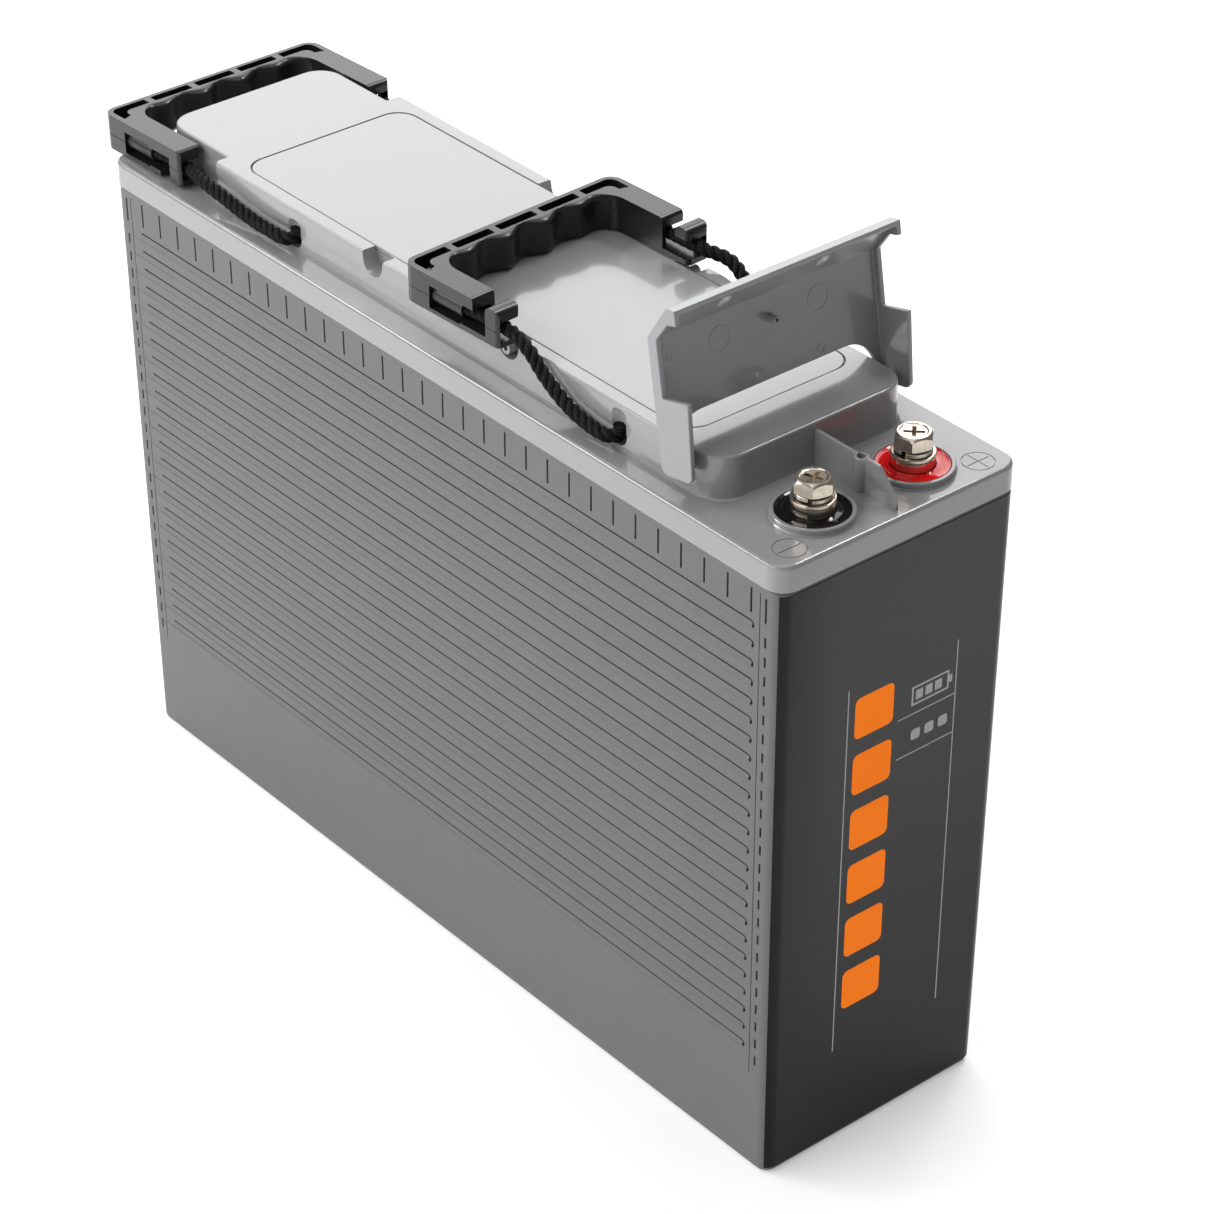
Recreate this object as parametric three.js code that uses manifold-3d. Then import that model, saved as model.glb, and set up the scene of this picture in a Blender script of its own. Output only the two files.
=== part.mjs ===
// Front-terminal lithium battery block, the long narrow shape that stands in equipment racks.
// Frame: millimetres, +Z up, origin at the centre of the case's underside,
// +X towards the end that carries the terminals and the label.
import * as THREE from 'three';
import { mergeVertices } from 'three/addons/utils/BufferGeometryUtils.js';
import Module from 'manifold-3d';

const wasm = await Module();
wasm.setup();

// ---------------------------------------------------------------- driving dimensions
const GAP = 0.3; // clearance kept between neighbouring pieces

const CASE = { length: 392.6, width: 109.6, height: 255, wall: 3, floor: 3.5, corner: 5, draft: 2 };
const LID = { length: 395, width: 112, bottom: 255.3, shelf: 266, corner: 8, plate: 3 };
const TONGUE = { depth: 5, thickness: 2, draft: 0.5 }; // lid rib that drops inside the case wall

// The raised part of the lid: full width in front, narrow at the rear end.
const PLATEAU = {
  top: 282.6, back: -182.3, front: 153.2, shoulder: -141,
  halfWidth: 45.2, narrowHalf: 39, backCorner: 11, frontCorner: 12, shoulderCorner: 2.5,
  cavityHalf: 35, cavityTop: 277.5,
};
const PANEL = { halfLength: 131, halfWidth: 38.8, corner: 9, thickness: 1.6, groove: 0.5 };
const NOTCH = { x: 39.8, radius: 5.8, axisZ: 280.2, inner: 38.3 };
const VENT = { x: 38.5, radius: 2.5, bore: 1.2, z: 278.2, inner: 35.5, outer: 45 };

// Holes in the plateau's side wall that the handle ropes come out of.
const ROPE_HOLE = { rearX: -88, frontX: 101.5, z: 271, radius: 4.3, slot: 6 };
const ROPE = { radius: 2.7, bend: 4.5, bendStart: 44.4, innerEnd: 34.6, sides: 8, steps: 30 };
const ROPE_STOP = { radius: 6, inner: 25.5, outer: 34.3 };

const TERMINAL = { x: 176.7, y: 23.2 };
const RING = { outer: 15, inner: 13.4, top: 268.5 };
const EPOXY = { outer: 13.1, inner: 8.3, bottom: 266.1, top: 268.3 };
const INSERT = { radius: 8, bottom: 256.5, top: 271.9, bore: 4.2, boss: 12 };
const FLAT_WASHER = { outer: 8, inner: 4.3, bottom: 272, top: 273.5 };
const SPRING_WASHER = { outer: 6.9, inner: 4.4, bottom: 273.6, top: 275.7, split: 1.4 };
const BOLT = { acrossCorners: 15, headBottom: 275.8, headTop: 281.1, shank: 3.95, tip: 259 };
const CROSS = { length: 7.4, width: 1.5, depth: 1.6 };

const DIVIDER = { top: 279.5, slopeStart: 184.3, end: 193.4, foot: 270.4, thickness: 1.6 };
const POST = { x: 175.4, radius: 2.8, bore: 1.7, boreBottom: 268, top: 279.2 };

// Terminal cover, drawn as a side profile: s runs up the open plate, t points forward from it.
const HINGE = { x: 139, z: 277.3, openLean: 9.7, pin: 2.5, socket: 2.6, pinEnd: 42, socketEnd: 41.4 };
const COVER = {
  halfWidth: 51.5, skirt: 2, outer: -8.2, plate: 2.4, cutTop: 14.1, cutHalf: 47.6, cutCorner: 14.5,
  foot: -4.4, footCorner: 3, toe: 7.75, brow: 9.85, browHeight: 25.7, step: 24.6, rail: -3.4,
};
const CHAMFER = {
  low: 46, reach: 3.3, lipEnd: 7.9, top: 58.8, plate: 2, holeY: 22.5, hole: 2.8,
  innerLow: 45.7, innerReach: 4.2, gussetTop: 52.8, gussetEnd: 53.2,
};
const COVER_PEG = { s: 36.4, radius: 1.3, bore: 0.6, tip: -1.5 };

// Carrying handle, in its own frame: grip across Y at x = 0, legs along +X, underside at z = 0.
const HANDLE = {
  halfWidth: 51, length: 52.8, thickness: 14.6, grip: 9.6, legInner: 40.6, outerCorner: 4,
  innerCorner: 8, fingerPitch: 18.7, fingerDepth: 1.6,
};
const POCKET = {
  back: 2, front: 6.2, floor: 3.5, pitch: 20.7, half: 8.9, cornerStart: 32.6, cornerHalf: 48.6,
};
const SOCKET = { start: 15, end: 31.8, low: 1.6, high: 10.6, depth: 9.4 };
const SLOT = { start: 38.9, end: 45.6, floor: 2.2 };
const ROPE_SEAT = { y: 46.2, z: 6.2, clear: 3.8 };
const FERRULE = { radius: 3.7, start: 15.4, end: 31.3 };
const REAR_HANDLE = { x: -207.6, y: 0, z: 265.9, tilt: 2, yaw: 0 };
const FRONT_HANDLE = { x: -10.1, y: -4.2, z: 282.9, tilt: 0, yaw: 2.4 };

// Inside the case.
const CELL = { length: 160, width: 48, height: 118, bottom: 8, gap: 2, pitchY: 49.6 };
const BUSBAR = { thickness: 2, width: 22, clear: 0.3 };
const STUD = { radius: 8, height: 2, offset: 55 };
const BMS = { length: 180, width: 88, thickness: 1.6, z: 142, x: -60 };
const CABLE = { radius: 4, sides: 8 };

// ---------------------------------------------------------------- solids
const group = new THREE.Group();
const rad = THREE.MathUtils.degToRad;

function solid(geometry) {
  const bare = geometry.index ? geometry.toNonIndexed() : geometry.clone();
  bare.deleteAttribute('normal');
  bare.deleteAttribute('uv');
  const merged = mergeVertices(bare, 1e-4);
  const vertProperties = new Float32Array(merged.attributes.position.array);
  const triVerts = new Uint32Array(merged.index.array);
  const mesh = new wasm.Mesh({ numProp: 3, vertProperties, triVerts });
  mesh.merge();
  return new wasm.Manifold(mesh);
}

function geometryOf(body) {
  const mesh = body.getMesh();
  const geometry = new THREE.BufferGeometry();
  geometry.setAttribute('position', new THREE.BufferAttribute(new Float32Array(mesh.vertProperties), 3));
  geometry.setIndex(new THREE.BufferAttribute(new Uint32Array(mesh.triVerts), 1));
  return geometry;
}

function addAll(bodies) {
  return bodies.reduce((sum, body) => sum.add(body));
}

function cutAll(body, tools) {
  return tools.reduce((rest, tool) => rest.subtract(tool), body);
}

function box(x0, x1, y0, y1, z0, z1) {
  const geometry = new THREE.BoxGeometry(x1 - x0, y1 - y0, z1 - z0);
  return geometry.translate((x0 + x1) / 2, (y0 + y1) / 2, (z0 + z1) / 2);
}

// A flat outline in XY pushed up from z0 to z1.
function prism(shape, z0, z1, curveSegments = 3) {
  const geometry = new THREE.ExtrudeGeometry(shape, { depth: z1 - z0, bevelEnabled: false, curveSegments });
  return geometry.translate(0, 0, z0);
}

// A flat outline drawn as (x, z), pushed along Y from y0 to y1.
function sidePrism(shape, y0, y1, curveSegments = 4) {
  const geometry = new THREE.ExtrudeGeometry(shape, { depth: y1 - y0, bevelEnabled: false, curveSegments });
  return geometry.rotateX(Math.PI / 2).translate(0, y1, 0);
}

function roundedRect(x0, x1, y0, y1, r) {
  const shape = new THREE.Shape();
  shape.moveTo(x0 + r, y0);
  shape.lineTo(x1 - r, y0);
  shape.absarc(x1 - r, y0 + r, r, -Math.PI / 2, 0);
  shape.lineTo(x1, y1 - r);
  shape.absarc(x1 - r, y1 - r, r, 0, Math.PI / 2);
  shape.lineTo(x0 + r, y1);
  shape.absarc(x0 + r, y1 - r, r, Math.PI / 2, Math.PI);
  shape.lineTo(x0, y0 + r);
  shape.absarc(x0 + r, y0 + r, r, Math.PI, 1.5 * Math.PI);
  return shape;
}

function centredRect(length, width, r) {
  return roundedRect(-length / 2, length / 2, -width / 2, width / 2, r);
}

// A solid of revolution about Z from a closed or axis-to-axis profile of [radius, z] points.
function turned(profile, segments = 32) {
  const points = profile.map(([r, z]) => new THREE.Vector2(r, z));
  return new THREE.LatheGeometry(points, segments).rotateX(Math.PI / 2);
}

function rod(radius, z0, z1, segments = 32) {
  return turned([[0, z0], [radius, z0], [radius, z1], [0, z1]], segments);
}

function tube(outer, inner, z0, z1, segments = 32) {
  return turned([[inner, z0], [outer, z0], [outer, z1], [inner, z1], [inner, z0]], segments);
}

// A rod along Y from y0 to y1.
function crossRod(radius, x, z, y0, y1, segments = 24) {
  return rod(radius, y0, y1, segments).rotateX(-Math.PI / 2).translate(x, 0, z);
}

function round(radius, sides) {
  const shape = new THREE.Shape();
  for (let i = 0; i < sides; i += 1) {
    const angle = (2 * Math.PI * i) / sides;
    const point = [radius * Math.cos(angle), radius * Math.sin(angle)];
    if (i === 0) shape.moveTo(...point);
    else shape.lineTo(...point);
  }
  shape.closePath();
  return shape;
}

function cord(curve, radius, sides, steps) {
  return new THREE.ExtrudeGeometry(round(radius, sides), { steps, extrudePath: curve, bevelEnabled: false });
}

// Pulls the lower end of a wall inwards, as a moulded case tapers towards its floor.
function taper(geometry, height, inset) {
  const position = geometry.attributes.position;
  for (let i = 0; i < position.count; i += 1) {
    const pull = inset * (1 - position.getZ(i) / height);
    position.setX(i, position.getX(i) - Math.sign(position.getX(i)) * pull);
    position.setY(i, position.getY(i) - Math.sign(position.getY(i)) * pull);
  }
  return geometry;
}

function place(name, geometry, look, parent = group) {
  const mesh = new THREE.Mesh(geometry, new THREE.MeshStandardMaterial(look));
  mesh.name = name;
  parent.add(mesh);
  return mesh;
}

const LOOK = {
  caseGrey: { color: 0x6e6f70, roughness: 0.55, metalness: 0 },
  lidGrey: { color: 0xc9cacb, roughness: 0.22, metalness: 0 },
  handleGrey: { color: 0x48494b, roughness: 0.45, metalness: 0 },
  label: { color: 0x18181a, roughness: 0.25, metalness: 0 },
  rope: { color: 0x0d0d0e, roughness: 0.7, metalness: 0 },
  nickel: { color: 0xc9c2b4, roughness: 0.2, metalness: 1 },
  black: { color: 0x0a0a0b, roughness: 0.15, metalness: 0 },
  red: { color: 0xd01010, roughness: 0.15, metalness: 0 },
  cell: { color: 0x2f5fa8, roughness: 0.35, metalness: 0 },
  copper: { color: 0xb87333, roughness: 0.3, metalness: 1 },
  foam: { color: 0x2b2b2d, roughness: 0.95, metalness: 0 },
  board: { color: 0x17502c, roughness: 0.5, metalness: 0 },
  aluminium: { color: 0xb8babc, roughness: 0.35, metalness: 1 },
};

const SIDES = [['near', -1], ['far', 1]];
const POLES = [['negative', -1], ['positive', 1]];

// ---------------------------------------------------------------- case
function caseBody() {
  const { length, width, height, wall, floor, corner, draft } = CASE;
  const outside = taper(prism(centredRect(length, width, corner), 0, height), height, draft);
  const innerRect = centredRect(length - 2 * wall, width - 2 * wall, corner - wall);
  const inside = taper(prism(innerRect, floor, height + 1), height, draft);
  return solid(outside).subtract(solid(inside));
}
place('case', geometryOf(caseBody()), LOOK.caseGrey);

// ---------------------------------------------------------------- lid
function plateauOutline() {
  const { back, front, shoulder, halfWidth, narrowHalf, backCorner, frontCorner, shoulderCorner } = PLATEAU;
  const shape = new THREE.Shape();
  const quarter = Math.PI / 2;
  shape.moveTo(back + backCorner, -narrowHalf);
  shape.lineTo(shoulder, -narrowHalf);
  shape.lineTo(shoulder, -halfWidth + shoulderCorner);
  shape.absarc(shoulder + shoulderCorner, -halfWidth + shoulderCorner, shoulderCorner, Math.PI, 3 * quarter);
  shape.lineTo(front - frontCorner, -halfWidth);
  shape.absarc(front - frontCorner, -halfWidth + frontCorner, frontCorner, -quarter, 0);
  shape.lineTo(front, halfWidth - frontCorner);
  shape.absarc(front - frontCorner, halfWidth - frontCorner, frontCorner, 0, quarter);
  shape.lineTo(shoulder + shoulderCorner, halfWidth);
  shape.absarc(shoulder + shoulderCorner, halfWidth - shoulderCorner, shoulderCorner, quarter, Math.PI);
  shape.lineTo(shoulder, narrowHalf);
  shape.lineTo(back + backCorner, narrowHalf);
  shape.absarc(back + backCorner, narrowHalf - backCorner, backCorner, quarter, Math.PI);
  shape.lineTo(back, -narrowHalf + backCorner);
  shape.absarc(back + backCorner, -narrowHalf + backCorner, backCorner, Math.PI, 3 * quarter);
  return shape;
}

// Slot with round ends in the side wall, drawn as (x, z).
function slotOutline(x0, x1, z, r) {
  const shape = new THREE.Shape();
  shape.moveTo(x0, z - r);
  shape.lineTo(x1, z - r);
  shape.absarc(x1, z, r, -Math.PI / 2, Math.PI / 2);
  shape.lineTo(x0, z + r);
  shape.absarc(x0, z, r, Math.PI / 2, 1.5 * Math.PI);
  return shape;
}

function notchOutline(x) {
  const { radius, axisZ } = NOTCH;
  const shape = new THREE.Shape();
  shape.moveTo(x + radius, PLATEAU.top + 1);
  shape.lineTo(x - radius, PLATEAU.top + 1);
  shape.lineTo(x - radius, axisZ);
  shape.absarc(x, axisZ, radius, Math.PI, 2 * Math.PI);
  return shape;
}

function dividerOutline() {
  const { top, slopeStart, end, foot } = DIVIDER;
  const shape = new THREE.Shape();
  shape.moveTo(PLATEAU.front - 1, LID.shelf - 1);
  shape.lineTo(end, LID.shelf - 1);
  shape.lineTo(end, foot);
  shape.lineTo(slopeStart, top);
  shape.lineTo(PLATEAU.front - 1, top);
  return shape;
}

function lidBody() {
  const { length, width, bottom, shelf, corner, plate } = LID;
  const top = PLATEAU.top;
  const skirt = prism(centredRect(length, width, corner), bottom, shelf);
  const tongueLength = CASE.length - 2 * CASE.wall - 2 * GAP;
  const tongueWidth = CASE.width - 2 * CASE.wall - 2 * GAP;
  const tongueBottom = bottom - TONGUE.depth;
  const innerLength = tongueLength - 2 * TONGUE.thickness;
  const innerWidth = tongueWidth - 2 * TONGUE.thickness;
  const tongueBlock = prism(centredRect(tongueLength, tongueWidth, 2), tongueBottom, shelf - 1);
  const tongue = taper(tongueBlock, CASE.height, TONGUE.draft);
  const underside = prism(centredRect(innerLength, innerWidth, 2), tongueBottom - 1, shelf - plate);
  const hood = prism(
    roundedRect(PLATEAU.back + 5, PLATEAU.front - 5, -PLATEAU.cavityHalf, PLATEAU.cavityHalf, 6),
    tongueBottom, PLATEAU.cavityTop,
  );
  let body = addAll([skirt, prism(plateauOutline(), shelf - 1, top), tongue].map(solid));
  body = cutAll(body, [underside, hood].map(solid));

  const { halfLength, halfWidth, corner: panelCorner, thickness } = PANEL;
  const recess = roundedRect(-halfLength, halfLength, -halfWidth, halfWidth, panelCorner);
  const cuts = [prism(recess, top - thickness - GAP, top + 1)];
  for (const side of [-1, 1]) {
    const wall = [side * PLATEAU.cavityHalf - side, side * (PLATEAU.halfWidth + 1)].sort((a, b) => a - b);
    const rim = [side * NOTCH.inner, side * (PLATEAU.halfWidth + 1)].sort((a, b) => a - b);
    for (const x of [-NOTCH.x, NOTCH.x]) cuts.push(sidePrism(notchOutline(x), ...rim));
    cuts.push(crossRod(VENT.radius + 0.1, VENT.x, VENT.z, ...wall));
    for (const x of [ROPE_HOLE.rearX, ROPE_HOLE.frontX]) {
      cuts.push(sidePrism(slotOutline(x - ROPE_HOLE.slot, x, ROPE_HOLE.z, ROPE_HOLE.radius), ...wall));
    }
    const socket = [side * HINGE.socketEnd, side * (PLATEAU.halfWidth + 1)].sort((a, b) => a - b);
    cuts.push(crossRod(HINGE.socket, HINGE.x, HINGE.z, ...socket, 32));
  }
  body = cutAll(body, cuts.map(solid));

  const extras = [sidePrism(dividerOutline(), -DIVIDER.thickness / 2, DIVIDER.thickness / 2)];
  extras.push(rod(POST.radius, shelf - 1, POST.top).translate(POST.x, 0, 0));
  for (const side of [-1, 1]) {
    const centre = [TERMINAL.x, side * TERMINAL.y, 0];
    extras.push(tube(RING.outer, RING.inner, shelf - 1, RING.top).translate(...centre));
    extras.push(rod(INSERT.boss, bottom + 0.5, shelf - 1).translate(...centre));
  }
  body = body.add(addAll(extras.map(solid)));

  const bores = [rod(POST.bore, POST.boreBottom, POST.top + 1, 24).translate(POST.x, 0, 0)];
  for (const side of [-1, 1]) {
    bores.push(rod(INSERT.radius + 0.1, bottom - 1, shelf + 1).translate(TERMINAL.x, side * TERMINAL.y, 0));
  }
  return cutAll(body, bores.map(solid));
}
place('lid', geometryOf(lidBody()), LOOK.lidGrey);

// Flush strip let into the top of the plateau, notched where the rim is notched.
{
  const { halfLength, halfWidth, corner, thickness, groove } = PANEL;
  const endX = halfLength - groove;
  const sideY = halfWidth - groove;
  const edge = roundedRect(-endX, endX, -sideY, sideY, corner);
  place('top_strip', prism(edge, PLATEAU.top - thickness, PLATEAU.top), LOOK.lidGrey);
}

for (const [name, side] of SIDES) {
  const reach = VENT.outer - VENT.inner;
  const geometry = tube(VENT.radius, VENT.bore, 0, reach, 16).rotateX(side > 0 ? -Math.PI / 2 : Math.PI / 2);
  place(`vent_tube_${name}`, geometry, LOOK.lidGrey).position.set(VENT.x, side * VENT.inner, VENT.z);
}

// ---------------------------------------------------------------- label on the terminal end
{
  const sheet = new THREE.Shape();
  const lean = CASE.draft / CASE.height;
  const face = (z) => CASE.length / 2 - CASE.draft + lean * z + 0.1;
  sheet.moveTo(face(2), 2);
  sheet.lineTo(face(2) + 0.5, 2);
  sheet.lineTo(face(CASE.height - 1) + 0.5, CASE.height - 1);
  sheet.lineTo(face(CASE.height - 1), CASE.height - 1);
  const half = CASE.width / 2 - CASE.draft - CASE.corner;
  place('front_label', sidePrism(sheet, -half, half), LOOK.label);
}

// ---------------------------------------------------------------- terminals
function flatWasher() {
  return tube(FLAT_WASHER.outer, FLAT_WASHER.inner, FLAT_WASHER.bottom, FLAT_WASHER.top);
}

function splitWasher() {
  const ring = solid(tube(SPRING_WASHER.outer, SPRING_WASHER.inner, SPRING_WASHER.bottom, SPRING_WASHER.top));
  const half = SPRING_WASHER.split / 2;
  return ring.subtract(solid(box(0, 12, -half, half, SPRING_WASHER.bottom - 1, SPRING_WASHER.top + 1)));
}

function boltBody() {
  const { acrossCorners, headBottom, headTop, shank, tip } = BOLT;
  const head = rod(acrossCorners / 2, headBottom, headTop, 6);
  const { length, width, depth } = CROSS;
  const bars = [
    box(-length / 2, length / 2, -width / 2, width / 2, headTop - depth, headTop + 1),
    box(-width / 2, width / 2, -length / 2, length / 2, headTop - depth, headTop + 1),
  ];
  return cutAll(addAll([head, rod(shank, tip, headBottom + 1)].map(solid)), bars.map(solid));
}

for (const [name, side] of POLES) {
  const pieces = {
    epoxy_disc: [tube(EPOXY.outer, EPOXY.inner, EPOXY.bottom, EPOXY.top), side < 0 ? LOOK.black : LOOK.red],
    terminal_insert: [tube(INSERT.radius, INSERT.bore, INSERT.bottom, INSERT.top), LOOK.nickel],
    flat_washer: [flatWasher(), LOOK.nickel],
    spring_washer: [geometryOf(splitWasher()), LOOK.nickel],
    terminal_bolt: [geometryOf(boltBody()), LOOK.nickel],
  };
  for (const [piece, [geometry, look]] of Object.entries(pieces)) {
    place(`${piece}_${name}`, geometry, look).position.set(TERMINAL.x, side * TERMINAL.y, 0);
  }
}

// ---------------------------------------------------------------- terminal cover
// Profiles are drawn as (t, s); the cover group stands them up at the hinge line.
function coverSkirtOutline() {
  const { outer, foot, footCorner, toe, brow, browHeight, step, rail } = COVER;
  const { low, reach, lipEnd, top, gussetTop, gussetEnd } = CHAMFER;
  const quarter = Math.PI / 2;
  const footTop = foot + footCorner;
  const shape = new THREE.Shape();
  shape.moveTo(outer, low);
  shape.lineTo(outer, footTop);
  shape.absarc(outer + footCorner, footTop, footCorner, 2 * quarter, 3 * quarter);
  shape.lineTo(toe - footCorner, foot);
  shape.absarc(toe - footCorner, footTop, footCorner, 3 * quarter, 4 * quarter);
  shape.lineTo(brow, browHeight);
  shape.lineTo(rail, step);
  shape.lineTo(rail, low);
  shape.lineTo(reach, gussetTop);
  shape.lineTo(lipEnd, gussetEnd);
  shape.lineTo(lipEnd, top);
  shape.lineTo(reach, top);
  return shape;
}

// The plate, the slanting top edge and the short lip in front of it.
function coverShellOutline() {
  const { outer, plate, foot, footCorner } = COVER;
  const { low, reach, lipEnd, top, plate: slant, innerLow, innerReach } = CHAMFER;
  const shape = new THREE.Shape();
  shape.moveTo(outer, foot + footCorner);
  shape.lineTo(outer + plate, foot + footCorner);
  shape.lineTo(outer + plate, innerLow);
  shape.lineTo(innerReach, top - slant);
  shape.lineTo(lipEnd, top - slant);
  shape.lineTo(lipEnd, top);
  shape.lineTo(reach, top);
  shape.lineTo(outer, low);
  return shape;
}

function coverBody() {
  const { halfWidth, skirt, outer, plate, cutTop, cutHalf, cutCorner } = COVER;
  const inner = outer + plate;
  const cutout = new THREE.Shape();
  cutout.moveTo(-cutHalf, -6);
  cutout.lineTo(cutHalf, -6);
  cutout.lineTo(cutHalf, cutTop - cutCorner);
  cutout.absarc(cutHalf - cutCorner, cutTop - cutCorner, cutCorner, 0, Math.PI / 2);
  cutout.lineTo(-cutHalf + cutCorner, cutTop);
  cutout.absarc(-cutHalf + cutCorner, cutTop - cutCorner, cutCorner, Math.PI / 2, Math.PI);
  const cutter = prism(cutout, outer - 1, inner + 1);
  cutter.applyMatrix4(new THREE.Matrix4().set(0, 0, 1, 0, 1, 0, 0, 0, 0, 1, 0, 0, 0, 0, 0, 1));
  let body = solid(sidePrism(coverShellOutline(), -halfWidth, halfWidth)).subtract(solid(cutter));
  const peg = rod(COVER_PEG.radius, inner - 0.5, COVER_PEG.tip, 20).rotateY(Math.PI / 2);
  const parts = [peg.translate(0, 0, COVER_PEG.s)];
  for (const side of [-1, 1]) {
    const wall = [side * (halfWidth - skirt), side * halfWidth].sort((a, b) => a - b);
    const pin = [side * HINGE.pinEnd, side * (halfWidth - 1)].sort((a, b) => a - b);
    parts.push(sidePrism(coverSkirtOutline(), ...wall));
    parts.push(crossRod(HINGE.pin, 0, 0, ...pin, 32));
  }
  body = body.add(addAll(parts.map(solid)));
  const pegBore = rod(COVER_PEG.bore, 0, 3, 12).rotateY(Math.PI / 2);
  const cuts = [pegBore.translate(COVER_PEG.tip - 2, 0, COVER_PEG.s)];
  const { low, reach, top, holeY, hole } = CHAMFER;
  const slope = Math.atan2(top - low, reach - outer);
  for (const side of [-1, 1]) {
    const bore = rod(hole, -4, 4, 24).rotateY(-slope);
    cuts.push(bore.translate((outer + reach) / 2, side * holeY, (low + top) / 2));
  }
  return cutAll(body, cuts.map(solid));
}

const cover = new THREE.Group();
cover.position.set(HINGE.x, 0, HINGE.z);
cover.rotation.y = -rad(HINGE.openLean);
group.add(cover);
place('terminal_cover', geometryOf(coverBody()), LOOK.lidGrey, cover);

// ---------------------------------------------------------------- handles
function handleOutline() {
  const { halfWidth, length, grip, legInner, outerCorner, innerCorner, fingerPitch, fingerDepth } = HANDLE;
  const quarter = Math.PI / 2;
  const shape = new THREE.Shape();
  shape.moveTo(outerCorner, -halfWidth);
  shape.lineTo(length, -halfWidth);
  shape.lineTo(length, -legInner);
  shape.lineTo(grip + innerCorner, -legInner);
  shape.absarc(grip + innerCorner, -legInner + innerCorner, innerCorner, -quarter, -2 * quarter, true);
  const reach = legInner - innerCorner;
  const steps = 32;
  for (let i = 1; i < steps; i += 1) {
    const y = -reach + (2 * reach * i) / steps;
    const wave = Math.cos((2 * Math.PI * y) / fingerPitch + Math.PI);
    const swell = wave * Math.cos((quarter * y) / reach) ** 0.5;
    shape.lineTo(grip + fingerDepth * swell, y);
  }
  shape.absarc(grip + innerCorner, legInner - innerCorner, innerCorner, 2 * quarter, quarter, true);
  shape.lineTo(length, legInner);
  shape.lineTo(length, halfWidth);
  shape.lineTo(outerCorner, halfWidth);
  shape.absarc(outerCorner, halfWidth - outerCorner, outerCorner, quarter, 2 * quarter);
  shape.lineTo(0, -halfWidth + outerCorner);
  shape.absarc(outerCorner, -halfWidth + outerCorner, outerCorner, 2 * quarter, 3 * quarter);
  return shape;
}

function handleBody(slotDown) {
  const { halfWidth, length, thickness, legInner } = HANDLE;
  const roof = ROPE_SEAT.z + ROPE_SEAT.clear;
  const opening = slotDown ? [-1, roof] : [SLOT.floor, thickness + 1];
  const cuts = [];
  for (const step of [-1, 0, 1]) {
    const y = step * POCKET.pitch;
    cuts.push(box(POCKET.back, POCKET.front, y - POCKET.half, y + POCKET.half, POCKET.floor, thickness + 1));
  }
  for (const side of [-1, 1]) {
    const span = (a, b) => [side * a, side * b].sort((p, q) => p - q);
    const corner = span(POCKET.cornerStart, POCKET.cornerHalf);
    const leg = span(POCKET.cornerHalf - 4, POCKET.cornerHalf);
    cuts.push(box(POCKET.back, POCKET.front, ...corner, POCKET.floor, thickness + 1));
    cuts.push(box(POCKET.back, 12.5, ...leg, POCKET.floor + 8, thickness + 1));
    const window = span(halfWidth - SOCKET.depth, halfWidth + 1);
    cuts.push(box(SOCKET.start, SOCKET.end, ...window, SOCKET.low, SOCKET.high));
    const channel = span(ROPE_SEAT.y - ROPE_SEAT.clear, halfWidth + 1);
    cuts.push(box(SOCKET.end - 1, SLOT.start + 1, ...channel, SLOT.floor, roof));
    cuts.push(box(SLOT.start, SLOT.end, ...span(legInner - 1, halfWidth + 1), ...opening));
    const hook = span(legInner - 1, ROPE_SEAT.y + ROPE_SEAT.clear);
    cuts.push(box(SLOT.end - 1, length + 1, ...hook, SLOT.floor, roof));
  }
  return cutAll(solid(prism(handleOutline(), 0, thickness)), cuts.map(solid));
}

// Rope in world axes: out of the ferrule, past the end of the leg, along the lid's side
// and round into its hole, where it runs straight along the hinge line of the handle.
function ropeCurve(seat, exit, route, hole, side) {
  const points = [seat, exit];
  for (const [x, y, z] of route) points.push(new THREE.Vector3(x, side * y, z));
  const bend = [75, 45, 15].map((angle) => {
    const turn = rad(angle);
    const x = hole.x - ROPE.bend * (1 - Math.cos(turn));
    return new THREE.Vector3(x, side * (ROPE.bendStart + ROPE.bend * Math.sin(turn)), hole.z);
  });
  points.push(...bend);
  points.push(new THREE.Vector3(hole.x, side * (ROPE.bendStart - 2), hole.z));
  points.push(new THREE.Vector3(hole.x, side * ROPE.innerEnd, hole.z));
  return new THREE.CatmullRomCurve3(points, false, 'centripetal');
}

// Rope points between the handle and the bend, as [x, distance from the middle, z].
const REAR_ROUTE = [[-141, 49, 274.6], [-127, 49, 272.8], [-110, 48.9, 270.9], [-97, 48.9, 270.9]];
const FRONT_ROUTES = {
  near: [[56, 48.6, 286.4], [66, 48.9, 279.6], [78, 48.9, 273.6], [91, 48.9, 271.1]],
  far: [[53, 48.9, 286.6], [64, 48.9, 279.6], [78, 48.9, 273.6], [91, 48.9, 271.1]],
};

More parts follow.
